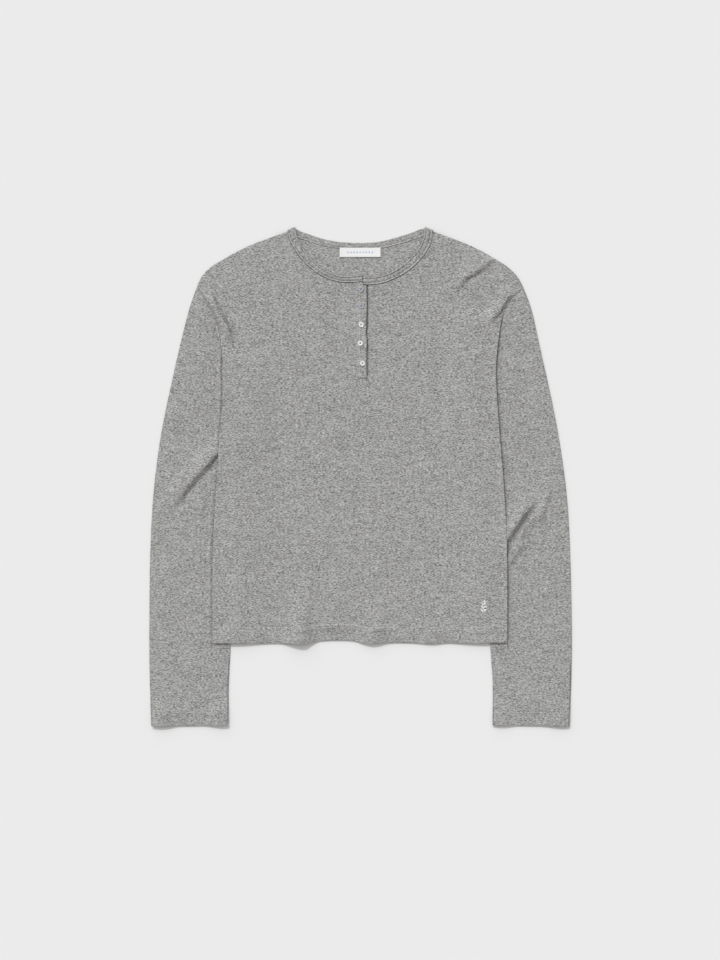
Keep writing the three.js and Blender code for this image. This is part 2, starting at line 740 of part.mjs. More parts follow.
// A placket strip between two columns, from its foot up to the neckband.
function placketStrip(left, rightAt, foot, floorAt) {
  const shares = Array.from({ length: STRIP_ROWS + 1 }, (_, row) => row / STRIP_ROWS);
  const leftTop = LEFT_BAND[0].seamY - SEAM_GAP;
  const rightTop = RIGHT_BAND[0].seamY - SEAM_GAP;
  const rows = shares.map((share) => {
    const high = foot + (leftTop - foot) * share;
    const low = foot + (rightTop - foot) * share;
    return [
      point(left, high),
      point(BAND_END - STRIP_STEP - SEAM_GAP, high),
      point(BAND_END - STRIP_STEP, low),
      point(rightAt(low), low),
    ];
  });
  return sheet(rows, floorAt, WALL);
}

function wavyEdge(y) {
  const wave = Math.sin((Math.PI * (y - STRIP_FOOT)) / STRIP_WAVE_PITCH) ** 2;
  return STRIP_RIGHT - STRIP_WAVE * wave;
}

// A button turned with a raised rim round a shallow dish, with its holes cut through.
function button() {
  const inRim = BUTTON_RADIUS - BUTTON_RIM;
  const profile = [
    [0, 0],
    [BUTTON_RADIUS - BUTTON_BEVEL, 0],
    [BUTTON_RADIUS, BUTTON_BEVEL],
    [BUTTON_RADIUS, BUTTON_THICKNESS - BUTTON_BEVEL],
    [BUTTON_RADIUS - BUTTON_BEVEL, BUTTON_THICKNESS],
    [inRim + BUTTON_BEVEL, BUTTON_THICKNESS],
    [inRim, BUTTON_THICKNESS - BUTTON_DISH],
    [0, BUTTON_THICKNESS - BUTTON_DISH],
  ];
  const drill = Manifold.cylinder(DRILL_LENGTH, BUTTON_HOLE_RADIUS, BUTTON_HOLE_RADIUS, HOLE_FACETS, true);
  let turned = Manifold.revolve([profile], BUTTON_FACETS);
  for (let hole = 0; hole < BUTTON_HOLES; hole += 1) {
    const angle = (2 * Math.PI * (hole + 0.5)) / BUTTON_HOLES;
    const x = BUTTON_HOLE_OFFSET * Math.cos(angle);
    const y = BUTTON_HOLE_OFFSET * Math.sin(angle);
    turned = turned.subtract(drill.translate([x, y, 0]));
  }
  const { vertProperties, triVerts } = turned.getMesh();
  const shape = new THREE.BufferGeometry();
  shape.setAttribute("position", new THREE.BufferAttribute(vertProperties, 3));
  shape.setIndex(new THREE.BufferAttribute(triVerts, 1));
  shape.computeVertexNormals();
  return shape;
}

// ---------- The shirt ----------

const shirt = new THREE.Group();

function add(name, shape, finish, x = 0, y = 0, z = 0) {
  const mesh = new THREE.Mesh(shape, new THREE.MeshStandardMaterial(finish));
  mesh.name = name;
  mesh.position.set(x, y, z);
  shirt.add(mesh);
}

add("back_panel", backPanel(), JERSEY);
add("front_panel", frontPanel(), JERSEY);
add("neckband", neckband(), RIB);
add("sleeve_left", sleeve({
  armhole: leftArmhole,
  tuck: leftTuck,
  outer: LEFT_SLEEVE_OUTER,
  inner: LEFT_SLEEVE_INNER,
  sections: LEFT_SECTIONS,
  lifts: LEFT_CUFF_LIFTS,
  folds: LEFT_SLEEVE_FOLDS,
  inside: insideLeft,
  outward: 1,
}), JERSEY);
add("sleeve_right", sleeve({
  armhole: rightArmhole,
  tuck: rightTuck,
  outer: RIGHT_SLEEVE_OUTER,
  inner: RIGHT_SLEEVE_INNER,
  sections: RIGHT_SECTIONS,
  lifts: RIGHT_CUFF_LIFTS,
  folds: RIGHT_SLEEVE_FOLDS,
  inside: insideRight,
  outward: -1,
}), JERSEY);
add("placket_under", placketStrip(
  SLIT_LEFT + SEAM_GAP,
  () => UNDER_RIGHT,
  SLIT_FOOT + SEAM_GAP,
  onFront(0),
), JERSEY);
add("placket_upper", placketStrip(STRIP_LEFT, wavyEdge, STRIP_FOOT, onFront(1)), JERSEY);
BUTTONS.forEach(({ x, y }, index) => {
  add(`button_${index + 1}`, button(), PEARL, x, y, onFront(2)(x, y));
});
add("neck_label", new THREE.BoxGeometry(LABEL.width, LABEL.height, LABEL.thickness), WOVEN,
  LABEL.x, LABEL.y, BAND_WALL + SEAM_GAP + LABEL.thickness / 2);

export default shirt;
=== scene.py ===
"""A long-sleeved henley shirt in thin grey jersey, laid flat on its back.

The tables hold millimetres in the frame's own axes: +X across the shirt, +Y towards the neck and +Z up
from the surface. Everything is turned into metres as its mesh is made.
"""

import math
from collections import namedtuple

import bpy
import numpy as np
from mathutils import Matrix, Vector


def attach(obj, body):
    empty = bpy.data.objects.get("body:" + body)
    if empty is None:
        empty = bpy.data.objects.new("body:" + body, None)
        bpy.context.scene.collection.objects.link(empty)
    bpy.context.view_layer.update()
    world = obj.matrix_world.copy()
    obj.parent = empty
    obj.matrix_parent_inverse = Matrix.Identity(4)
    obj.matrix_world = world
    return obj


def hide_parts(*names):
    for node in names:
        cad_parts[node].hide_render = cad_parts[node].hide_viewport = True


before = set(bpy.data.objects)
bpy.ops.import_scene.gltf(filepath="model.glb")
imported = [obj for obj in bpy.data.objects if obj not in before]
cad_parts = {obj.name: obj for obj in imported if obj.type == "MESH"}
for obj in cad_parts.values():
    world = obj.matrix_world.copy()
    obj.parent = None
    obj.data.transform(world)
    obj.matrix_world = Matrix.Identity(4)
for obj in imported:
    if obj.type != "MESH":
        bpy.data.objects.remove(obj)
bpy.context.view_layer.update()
scene = bpy.context.scene
MM = 0.001

# ---------- Camera ----------

PICTURE_LONG_SIDE = 1392
PICTURE_CENTRE = (-0.7, -4.8)
LENS = 100
SENSOR = 36


def make_camera():
    """A long lens straight above the shirt, with the neck towards the top of the picture."""
    lens = bpy.data.cameras.new("camera")
    lens.lens = LENS
    lens.sensor_width = SENSOR
    height = PICTURE_LONG_SIDE * LENS / SENSOR
    lens.clip_end = 4 * height * MM
    camera = bpy.data.objects.new("camera", lens)
    camera.location = (PICTURE_CENTRE[0] * MM, PICTURE_CENTRE[1] * MM, height * MM)
    scene.collection.objects.link(camera)
    scene.camera = camera


make_camera()

# ---------- Sizes of the cloth ----------

WALL = 1.0
CLOTH = 0.8
LAYER_GAP = 0.4
LAYER = WALL + LAYER_GAP
SEAM_GAP = 0.3
SLEEVE_HEIGHT = LAYER + WALL
# How far the back panel stands over a sleeve that is tucked under it.
TUCK_GAP = 1.4
TUCK_LIFT = SLEEVE_HEIGHT + TUCK_GAP

# ---------- Outline of the body: x and y of each point ----------

HEM = [
    (-214, -241.5), (-150, -241.5), (-92, -241.9), (-76, -240.6), (-57, -237.8), (-30, -237), (-12, -237.8),
    (4, -240.8), (16, -241.8), (34, -240.8), (66, -240.5), (98, -241.8), (126, -241), (170, -241.2),
    (212.6, -240),
]
# From the hem up to where the sleeve is fully tucked under the body.
LEFT_EDGE = [HEM[0], (-214, -120), (-210, -34), (-203, 69), (-200, 107), (-199.5, 164)]
RIGHT_EDGE = [HEM[-1], (212, -100), (207, -5), (201, 69), (196.3, 144), (198, 182), (203, 220)]
# On from there, up to where the seam of the sleeve comes out from under the body.
LEFT_TUCK = [LEFT_EDGE[-1], (-200.5, 177), (-202.5, 190)]
RIGHT_TUCK = [RIGHT_EDGE[-1], (206, 233), (211, 245)]
# On from there, up the open part of the armhole to the shoulder point.
LEFT_ARMHOLE = [LEFT_TUCK[-1], (-204.5, 209), (-210.5, 228), (-222, 250), (-236.5, 276)]
RIGHT_ARMHOLE = [RIGHT_TUCK[-1], (217.5, 256.5), (225.5, 264.5), (235.8, 274.5)]
LEFT_SHOULDER = [
    LEFT_ARMHOLE[-1], (-231, 288.5), (-221, 300), (-205, 311.4), (-161.7, 334.5), (-105.4, 355.5),
]
RIGHT_SHOULDER = [
    RIGHT_ARMHOLE[-1], (229, 287.5), (218.2, 299.7), (202.3, 311.3), (160.2, 334.5), (104.9, 355.5),
]

# ---------- Placket ----------

SLIT_LEFT = -2.5
SLIT_RIGHT = 10.9
SLIT_MIDDLE = 4
SLIT_FOOT = 146
STRIP_LEFT = -5.5
STRIP_RIGHT = 9.3
STRIP_FOOT = 143.5
# How far the under strip stays back from the upper strip's free edge.
UNDER_SHORT = 0.6
# The free edge draws in a little between its buttons, and more at one place.
STRIP_WAVE = 0.7
STRIP_WAVE_PITCH = 53.6
PULL_AT, PULL_DEPTH, PULL_REACH = 209, 1.3, 10
# How far that takes the slit's edge with it, and how the slit's edge rolls down.
PULL_FADE = 16
SLIT_DROP, SLIT_ROLL = 0.5, 0.9
# Across the upper strip: its stitches, a fainter line, and their ditches as depth and half width.
STRIP_STITCH_X, STRIP_FAINT_X = -1.5, 2.7
STRIP_STITCH_TOP = 280.5
STRIP_DITCH = (0.3, 0.9)
FAINT_DITCH = (0.2, 0.8)
# The ridge along its free edge and its lifted corner: rise, half width or reach, and place from the edge.
STRIP_RIDGE, STRIP_RIDGE_HALF, STRIP_RIDGE_FROM_EDGE = 1.2, 2.6, 1.2
CORNER_RISE, CORNER_REACH = 0.9, 7
STRIP_DROP, STRIP_ROLL = 0.5, 0.8
# How much thinner it is at its sewn edge, and how far in that reaches.
STRIP_THIN = 0.12
STRIP_BLEND = 4.2
STRIP_THINNEST = 0.07
STRIP_OVER_FRONT = 0.05
UNDER_BELOW_FRONT = 0.15
# The box of stitches across its foot: left, right, low and high.
TACK_BOX = (1.5, 5.0, 140.2, 145.4)
BUTTONS = [(0.7, 271.4), (1.3, 247.1), (0.9, 220.3), (-0.3, 193.3), (3.0, 164.1)]

# ---------- Neckband: each row is one station, its free edge and its seam edge ----------

Station = namedtuple("Station", "free_x free_y seam_x seam_y")
BAND_WALL = 1.2
# Between the front and the back of the band, which holds the front off the back round the neck.
BAND_GAP = 1.8
NECK_RISE = BAND_GAP - LAYER_GAP
NECK_REACH = 42
BAND_END = 3.15
LEFT_BAND = [
    Station(SLIT_LEFT, 291.8, SLIT_LEFT, 282),
    Station(-14, 290.7, -15, 281.3),
    Station(-27, 290.4, -30, 282),
    Station(-43, 295.5, -48, 287),
    Station(-57, 303.4, -65, 296.6),
    Station(-73, 317.5, -82, 311),
    Station(-86, 336, -96, 330),
    Station(-92, 348.3, -103, 344),
    Station(-94.3, 360, -105, 355.7),
]
RIGHT_BAND = [
    Station(SLIT_RIGHT, 289, SLIT_RIGHT, 277.8),
    Station(20, 289.4, 21.5, 278.5),
    Station(31, 291.6, 34.5, 280.9),
    Station(43.5, 295.6, 48.5, 286.5),
    Station(57, 303.8, 64, 294.6),
    Station(72, 316, 80.5, 307.3),
    Station(84, 330.5, 94, 323),
    Station(90.8, 346, 102.6, 339.5),
    Station(92.9, 360.1, 104.5, 355.7),
]
# The same band along the back neck, from the left fold to the right fold.
BACK_BAND = [
    LEFT_BAND[-1],
    Station(-86, 355.4, -93.5, 347.6),
    Station(-74, 351.4, -79.5, 342.3),
    Station(-62, 347.2, -66, 337.6),
    Station(-50, 343.8, -52.5, 333.9),
    Station(-38, 341.5, -39.5, 331.6),
    Station(-26, 340, -27, 330),
    Station(-14, 339.2, -14.5, 329.2),
    Station(SLIT_LEFT, 339, SLIT_LEFT, 329),
    Station(SLIT_RIGHT, 339.1, SLIT_RIGHT, 329.1),
    Station(20, 339.8, 20.5, 329.7),
    Station(31, 341.6, 32, 331.3),
    Station(42.5, 344.2, 44.5, 333.8),
    Station(54, 347.4, 57, 337.2),
    Station(66, 351, 70, 341),
    Station(75.5, 354.2, 81.5, 344.8),
    Station(85, 358.2, 93.5, 349.3),
    RIGHT_BAND[-1],
]

# ---------- Sleeves ----------

# Down the fold on the outside of each sleeve, from the shoulder point to the cuff.
LEFT_OUTER = [
    (-248.7, 241.7), (-263.2, 183.7), (-276.2, 125.7), (-288, 67.7), (-296.5, 9.7), (-302, -48.3),
    (-305, -120.8), (-306, -200), (-306, -270), (-304, -340), (-303, -361.6),
]
RIGHT_OUTER = [
    (248, 241.7), (261, 183.7), (274, 125.7), (285.5, 67.7), (294.5, 9.7), (300.6, -48.3),
    (304, -120.8), (306, -210), (306, -270), (304.2, -330), (302.5, -361.6),
]
# Down the under-arm edge, which lies under the body as far as the hem.
LEFT_INNER = [
    (-181, 95), (-180.5, 20), (-182, -80), (-185.5, -180), (-188.5, -244), (-191, -301), (-192, -360),
]
RIGHT_INNER = [
    (176, 110), (176.5, 20), (180, -80), (184.5, -180), (188, -244), (191.5, -301), (191, -360),
]
# The stretch of a sleeve over which the lie of its knit turns.
ELBOW_LENGTH = 180
# How far up each section across a sleeve meets its outer and its under-arm edge, from the armhole down.
LEFT_SECTIONS = [
    (232, 91), (184, 87), (136, 83), (88, 79), (40, 75), (-5, 71), (-44, 66), (-68, 58), (-82, 48),
    (-96, 36), (-128, 0), (-162, -54), (-200, -118), (-240, -186), (-282, -250), (-324, -310),
]
RIGHT_SECTIONS = [
    (236, 88), (200, 64), (166, 36), (134, 4), (104, -30), (76, -66), (52, -102), (37, -124), (24, -140),
    (11, -156), (-20, -176), (-70, -202), (-124, -228), (-182, -256), (-242, -288), (-302, -324),
]

# ---------- Rise of the cloth ----------

TUCK_REACH = 31
BACK_SLOPE = 16
FRONT_SLOPE = 64
FRONT_PUFF = 1.0
SLEEVE_PUFF = 1.2
PUFF_EDGE = 40
SLEEVE_PUFF_EDGE = 22
# The least height of one layer of cloth over the one below it.
CLEARANCE = 0.1
# How far in from their seams creases and ripples have their full height.
FRONT_CREASE_FADE, FRONT_RIPPLE_FADE = 5, 20
BACK_CREASE_FADE = 30
SLEEVE_CREASE_FADE, SLEEVE_RIPPLE_FADE = 10, 15
# Creases run on this far past the body's edge, over the tucked part of a sleeve.
CREASE_UNDER_BODY = 12
UNDER_CREASE_RISE = 0.4

# Where the cloth stands off the surface: middle, reach across and up, and rise.
Lift = namedtuple("Lift", "x y reach_x reach_y rise")
BODY_LIFTS = [
    Lift(-206, 22, 36, 48, 1.6),
    Lift(213, -102, 38, 52, 2.2),
    Lift(-88, -243, 31, 90, 8.4),
    Lift(17, -242, 30, 56, 4.8),
    Lift(104, -242, 26, 44, 2.2),
]
LEFT_CUFF_LIFTS = [Lift(-290, -362, 30, 56, 4.4), Lift(-201, -361, 28, 56, 4.4)]
RIGHT_CUFF_LIFTS = [Lift(203, -361, 26, 50, 3.2), Lift(290, -362, 30, 56, 3.4)]

# Creases: the line of each, half its width, its rise (a trough is below 0), how far it leans to the left
# of its line (from -1 to 1, which makes that side the wide one), and the shares of its length between
# which it has its full height.
Crease = namedtuple("Crease", "line half rise lean full_from full_to")
CREASE_READINGS = 33
FRONT_CREASES = [
    Crease([(-226, 274), (-206, 248), (-192, 222), (-184, 184)], 26, 2.2, 0, 0.2, 0.6),
    Crease([(-221, 268), (-212.8, 255.8), (-205.6, 240.2), (-197, 223.2), (-189.8, 211.2), (-185.7, 196.7),
            (-184, 181)], 12, 5.0, -0.78, 0.2, 0.65),
    Crease([(-218.6, 269.1), (-210.4, 257.1), (-203.2, 241.4), (-194.6, 224.5), (-187.4, 212.4),
            (-183.3, 197.9), (-181.8, 185)], 2.5, -6.5, 0, 0.3, 0.7),
    Crease([(200, 326), (189, 314.5), (178, 304), (164, 295.5), (151, 287.5), (143, 276), (132, 262)],
           13, 3.6, -0.64, 0.1, 0.75),
    Crease([(197, 314), (183, 299.5), (168.5, 290.5), (156.5, 283), (149, 272)], 4.5, -2.0, 0, 0.15, 0.75),
    Crease([(220, 270), (206, 244), (180, 214)], 24, 1.8, 0, 0.2, 0.6),
    Crease([(220, 268), (211.5, 257), (206, 249), (199.5, 238.5), (192.5, 231), (185.5, 225), (177, 217)],
           12, 3.4, -0.64, 0.12, 0.7),
    Crease([(219, 262), (210.5, 247), (204, 235.5), (196.5, 228), (189, 221.5)], 3.8, -3.0, 0, 0.15, 0.75),
    Crease([(-64, -108), (-70, -138), (-77, -173), (-84, -243)], 18, 1.5, -0.5, 0.35, 1.0),
    Crease([(118, 352), (122, 330), (128, 300)], 18, 1.2, 0.2, 0.3, 0.5),
    Crease([(-160, -236), (-156, -200), (-164, -150)], 20, 0.8, 0.3, 0.1, 0.4),
    Crease([(36, -240), (30, -205), (26, -176)], 16, 0.9, 0.4, 0.05, 0.4),
    Crease([(112, -240), (108, -212), (100, -186)], 14, 0.7, -0.3, 0.05, 0.4),
    Crease([(-196, 92), (-150, 70), (-108, 64)], 24, 0.5, 0.2, 0.1, 0.4),
    Crease([(190, 96), (150, 62), (118, 52)], 24, 0.5, -0.2, 0.1, 0.4),
    Crease([(-10, 150), (-34, 108), (-40, 70)], 22, 0.5, 0.3, 0.1, 0.4),
]
BACK_CREASES = [
    Crease([(-120, -200), (-60, -120), (-40, -30)], 16, 0.9, 0.3, 0.2, 0.6),
    Crease([(60, -220), (92, -150), (100, -60)], 14, 0.8, -0.2, 0.2, 0.7),
    Crease([(-150, 120), (-110, 170), (-86, 230)], 15, 0.9, 0.2, 0.2, 0.7),
    Crease([(150, 60), (120, 130), (112, 210)], 18, 0.8, 0.3, 0.2, 0.6),
    Crease([(-20, 60), (4, 120), (10, 190)], 14, 0.6, -0.3, 0.3, 0.6),
]
LEFT_SLEEVE_CREASES = [
    Crease([(-180, 60), (-212, 30), (-244, -4), (-278, -50)], 46, 1.5, 0.1, 0.5, 0.7),
    Crease([(-184, 56), (-205, 38), (-220, 22), (-238, 3), (-258, -22), (-286, -62)],
           17, 5.6, -0.52, 0.34, 0.5),
    Crease([(-192, 38), (-210, 18.5), (-227, 0), (-245, -20), (-262, -44), (-280, -72)],
           8, -2.4, 0.1, 0.1, 0.45),
    Crease([(-190, 38), (-206, 26), (-214, 19), (-224, 8)], 5, -2.4, 0, 0.3, 0.6),
    Crease([(-205, -10), (-228, -34), (-254, -70)], 14, 1.2, 0.3, 0.2, 0.5),
    Crease([(-243, 262), (-232, 238), (-223, 218), (-217, 196)], 13, 2.6, 0.35, 0.2, 0.6),
    Crease([(-226, 190), (-236, 150), (-240, 108)], 14, 1.1, 0.3, 0.2, 0.5),
    Crease([(-292, 20), (-286, -20), (-274, -58)], 12, 0.9, -0.3, 0.3, 0.6),
    Crease([(-236, -232), (-250, -280), (-254, -330)], 16, 0.9, 0.2, 0.3, 0.6),
]
RIGHT_SLEEVE_CREASES = [
    Crease([(184, -134), (214, -98), (246, -52), (268, -20)], 44, 1.5, 0.1, 0.55, 0.7),
    Crease([(200, -138), (212, -118), (219, -103.6), (225, -94), (231, -84), (242, -67.5), (252, -55),
            (261.5, -43)], 9, 3.2, -0.68, 0.34, 0.75),
    Crease([(192, -125), (201, -110), (208, -95.5), (214, -86), (220.3, -76), (231, -59.5), (241, -47),
            (250.6, -35), (260, -24)], 17, 6.2, 0.52, 0.46, 0.7),
    Crease([(207, -116), (215.5, -101.5), (221.5, -92), (228, -82), (239, -65.5), (249, -53), (258.6, -41)],
           7, -3.6, 0.4, 0.1, 0.62),
    Crease([(206, -138), (222, -116), (238, -99), (250, -88)], 11, 2.2, 0.35, 0.3, 0.6),
    Crease([(258, -70), (265, -48), (272, -26), (276, -6)], 10, 2.8, 0.45, 0.3, 0.6),
    Crease([(212, 196), (226, 150), (230, 104)], 15, 1.2, -0.3, 0.2, 0.5),
    Crease([(232, -180), (252, -232), (258, -290)], 16, 0.9, 0.2, 0.3, 0.6),
    Crease([(292, 60), (286, 20), (280, -10)], 12, 0.8, 0.3, 0.3, 0.6),
]
SLEEVE_UNDER_CREASES = [
    Crease([(-262, 60), (-240, 0), (-236, -60)], 14, 0.7, 0.2, 0.2, 0.6),
    Crease([(262, 40), (240, -40), (238, -120)], 14, 0.7, 0.2, 0.2, 0.6),
]
# Ripples: where their random waves start from, their height and about how long each wave is.
Ripple = namedtuple("Ripple", "seed height size")
FRONT_RIPPLE = Ripple(11, 0.26, 55)
LEFT_SLEEVE_RIPPLE = Ripple(21, 0.3, 48)
RIGHT_SLEEVE_RIPPLE = Ripple(22, 0.3, 48)
RIPPLE_WAVES = 9
RIPPLE_SIZES = (0.7, 2.2)

# ---------- Seams, hems and stitching ----------

HEM_DEPTH = 23
# The step where a turned-up hem ends: its height, how far above the stitches it starts, and its width.
TURN_UP, TURN_UP_ABOVE, TURN_UP_WIDTH = 0.35, 1.5, 2
STITCH_DITCH = 0.45
DITCH_HALF = 1.1
# How far the cloth rolls down at its edges, and how far in that reaches.
SEAM_DROP, SEAM_ROLL = 0.55, 1.5
SIDE_DROP, SIDE_ROLL = 0.6, 1.0
NECK_DROP, NECK_ROLL = 1.0, 1.7
HEM_ROLL = 0.9
BACK_DROP = 0.3
BACK_THINNEST = 0.35
# Cloth that rolls down by more than this is thinned at its edge.
THIN_FROM, THINNER = 0.7, 0.3
# How far the body's right edge stands up, how far in that reaches, and where it fades at its two ends.
EDGE_RISE = 1.3
EDGE_REACH = 9
EDGE_FADE_BELOW_TUCK, EDGE_FADE_ABOVE_HEM = 30, 60
# The groove that a sleeve has along the body's edge, the ridge outside it, and how both fade at the ends.
GROOVE_DROP = 0.75
LEFT_GROOVE, RIGHT_GROOVE = 2.0, 3.2
GROOVE_FROM_EDGE = 0.2
GROOVE_RIDGE, RIDGE_FROM_GROOVE, RIDGE_HALF = 1.2, 2.2, 3.4
GROOVE_FADE = 12
GROOVE_BELOW_TUCK = 8
GROOVE_FOOT = -243
GROOVE_FROM_FOLD = 8
# The hollow where a sleeve's fold starts, and how far round it the ridge is missing.
POCKET_DROP, POCKET_HOLLOW, POCKET_REACH = 2.2, 9, 27
STITCH_PITCH = 2.9
STITCH_LENGTH = 2.2
STITCH_RADIUS = 0.27
# The placket's stitches are a little thicker, and those of its box are shorter too.
PLACKET_STITCH_RADIUS = 0.32
BOX_STITCH_PITCH, BOX_STITCH_LENGTH = 1.5, 1.6
STITCH_SINK = 0.06
HEM_UNDER_STITCH, CUFF_UNDER_STITCH = 0.08, 0.07
HEM_STITCH_ENDS = (-211.5, 209.5)
CUFF_STITCH_INSET = 2.6
ROW_APART = 4.2

# ---------- Mesh density ----------

EDGE_STOPS = (0.25, 0.6, 1.1, 1.7, 2.6)
HEM_STOPS = (20.8, 21.6, 22.3, 22.7, 23, 23.3, 23.7, 24.4, 25.2)
SHOULDER_STOPS = (*EDGE_STOPS, *np.arange(4, 28, 1.4), *np.arange(28, 44, 2))
SLEEVE_EDGE_STOPS = (1.2, 2.4)
STRIP_END_STOPS = (0.3, 0.8)
STRIP_SIDE_STOPS = (0.25, 0.6)
LABEL_STOPS = (0.15, 0.4)
# About how long each stretch of the cloth is, and how far apart its points are.
SIDE_LENGTH, SIDE_SPACING = 431, 3.3
ARMHOLE_LENGTH, ARMHOLE_SPACING = 120, 1.5
SLEEVE_LENGTH, SLEEVE_LENGTH_SPACING = 600, 2.5
SLEEVE_WIDTH, SLEEVE_WIDTH_SPACING = 120, 2.1
SHOULDER_SPACING = 2.9
NECK_SPACING = 3.4
BAND_SPACING = 2.4
STRIP_LENGTH_SPACING = 1.8
STRIP_WIDTH_SPACING = 0.9
LABEL_SPACING = 0.9
# The share of a half panel's width that lies below its shoulder rather than its neck.
SHOULDER_SHARE = 0.42
SLIT_CELLS = 4
FOLD_STEPS = 7
FOLD_DEPTH = 1.2
CURVE_READINGS = 900
DISTANCE_READINGS = 260

# ---------- Curves ----------


def smooth(share):
    """0 below 0, 1 above 1, and an even S between."""
    share = np.clip(share, 0, 1)
    return share * share * (3 - 2 * share)


def curve(points):
    """Close points along a smooth curve through a table's points."""
    p = np.array(points, float)
    padded = np.vstack([p[:1], p, p[-1:]])
    place = np.linspace(0, len(p) - 1, CURVE_READINGS)
    start = np.minimum(place.astype(int), len(p) - 2)
    t = (place - start)[:, None]
    before, here, there, after = (padded[start + step] for step in range(4))
    slope_here = (there - before) / 2
    slope_there = (after - here) / 2
    return (
        (2 * here - 2 * there + slope_here + slope_there) * t**3
        + (3 * there - 3 * here - 2 * slope_here - slope_there) * t**2
        + slope_here * t
        + here
    )


def lengths(line):
    """How far along a line each of its points is."""
    steps = np.linalg.norm(np.diff(line, axis=0), axis=1)
    return np.concatenate([[0], np.cumsum(steps)])


def at_shares(line, shares):
    """The points at the given shares of a line's length."""
    along = lengths(line)
    wanted = np.asarray(shares) * along[-1]
    return np.stack([np.interp(wanted, along, axis) for axis in line.T], axis=-1)


def joined(*lines):
    """Lines end to end, each of which starts where the one before ends."""
    return np.vstack([lines[0], *(line[1:] for line in lines[1:])])


def stops(length, spacing, start=(), end=()):
    """Shares from 0 to 1 about a spacing apart, with extra ones at distances from either end."""
    low = [0, *start]
    high = [length - distance for distance in reversed([0, *end])]
    gap = high[0] - low[-1]
    count = max(2, round(gap / spacing))
    between = np.linspace(low[-1], high[0], count + 1)
    return np.concatenate([low[:-1], between, high[1:]]) / length


def read(line, known, place, wanted):
    """Reads one axis of a line at a place on its other axis, which rises along the line."""
    return np.interp(place, line[:, known], line[:, wanted])


left_low = joined(curve(LEFT_EDGE), curve(LEFT_TUCK))
right_low = joined(curve(RIGHT_EDGE), curve(RIGHT_TUCK))
left_armhole = curve(LEFT_ARMHOLE)
right_armhole = curve(RIGHT_ARMHOLE)
left_side = joined(left_low, left_armhole)
right_side = joined(right_low, right_armhole)
left_shoulder = curve(LEFT_SHOULDER)
right_shoulder = curve(RIGHT_SHOULDER)
hem_line = curve(HEM)
left_neck = curve([(s.seam_x, s.seam_y) for s in reversed(LEFT_BAND)])
right_neck = curve([(s.seam_x, s.seam_y) for s in RIGHT_BAND])
back_neck = curve([(s.seam_x, s.seam_y) for s in BACK_BAND])
neck_line = np.vstack([left_neck, right_neck])
front_top = np.vstack([left_shoulder, neck_line, right_shoulder[::-1]])
back_top = joined(left_shoulder, back_neck, right_shoulder[::-1])


def distance_to(line, x, y):
    """How far each place is from a line, at any side of it."""
    near = line[:: max(1, len(line) // DISTANCE_READINGS)]
    flat = np.stack([np.ravel(x), np.ravel(y)], axis=1)
    best = np.full(len(flat), np.inf)
    for start, end in zip(near[:-1], near[1:]):
        run = end - start
        share = np.clip(((flat - start) @ run) / max(run @ run, 1e-9), 0, 1)
        off = flat - start - share[:, None] * run
        best = np.minimum(best, np.hypot(off[:, 0], off[:, 1]))
    return best.reshape(np.shape(x))


# ---------- Heights ----------


def inside_left(x, y):
    """How far a place is inside the body's left edge; below 0 it is outside."""
    return x - read(left_side, 1, y, 0)


def inside_right(x, y):
    """How far a place is inside the body's right edge; below 0 it is outside."""
    return read(right_side, 1, y, 0) - x


def tuck_share(inside, y, tuck, slope):
    """1 over the tucked sleeve, falling to 0 inside it and above it."""
    across = 1 - smooth((inside - TUCK_REACH) / slope)
    up = 1 - smooth((y - tuck[0][1]) / (tuck[-1][1] - tuck[0][1]))
    return across * up


def lift_at(lifts, x, y):
    """How far the cloth stands off the surface at each place."""
    rise = np.zeros(np.shape(x))
    for lift in lifts:
        reach = np.hypot((x - lift.x) / lift.reach_x, (y - lift.y) / lift.reach_y)
        rise += lift.rise * smooth(1 - reach)
    return rise


def crease_at(creases, x, y):
    """The rise of listed creases: each has one steep and one gentle side, and runs out at its ends."""
    flat = np.stack([np.ravel(x), np.ravel(y)], axis=1)
    total = np.zeros(len(flat))
    for crease in creases:
        line = at_shares(curve(crease.line), np.linspace(0, 1, CREASE_READINGS))
        gaps = np.linalg.norm(flat[:, None] - line[None], axis=2)
        near = gaps.argmin(axis=1)
        run = np.gradient(line, axis=0)[near]
        step = np.linalg.norm(run, axis=1)
        off = flat - line[near]
        to_left = (run[:, 0] * off[:, 1] - run[:, 1] * off[:, 0]) / step
        along = (near + (run * off).sum(axis=1) / step**2) / (len(line) - 1)
        half = crease.half * (1 + crease.lean * np.sign(to_left))
        strength = np.interp(along, [0, crease.full_from, crease.full_to, 1], [0, 1, 1, 0])
        if crease.full_to >= 1:
            strength = np.interp(along, [0, crease.full_from], [0, 1])
        total += crease.rise * smooth(strength) * smooth(1 - np.abs(to_left) / half)
    return total.reshape(np.shape(x))


def ripple_at(ripple, x, y):
    """The faint unevenness of cloth that was smoothed out by hand."""
    draw = np.random.default_rng(ripple.seed)
    total = np.zeros(np.shape(x))
    for _ in range(RIPPLE_WAVES):
        angle = draw.uniform(0, math.pi)
        pitch = ripple.size * draw.uniform(*RIPPLE_SIZES)
        phase = draw.uniform(0, 2 * math.pi)
        total += np.sin(2 * math.pi * (x * math.cos(angle) + y * math.sin(angle)) / pitch + phase)
    return ripple.height * total / math.sqrt(RIPPLE_WAVES)


def panel_rise(x, y, slope):
    """How far the tucked sleeves and the waves of the hem hold a panel off the surface."""
    left = tuck_share(inside_left(x, y), y, LEFT_TUCK, slope)
    right = tuck_share(inside_right(x, y), y, RIGHT_TUCK, slope)
    return TUCK_LIFT * (left + right) + lift_at(BODY_LIFTS, x, y)


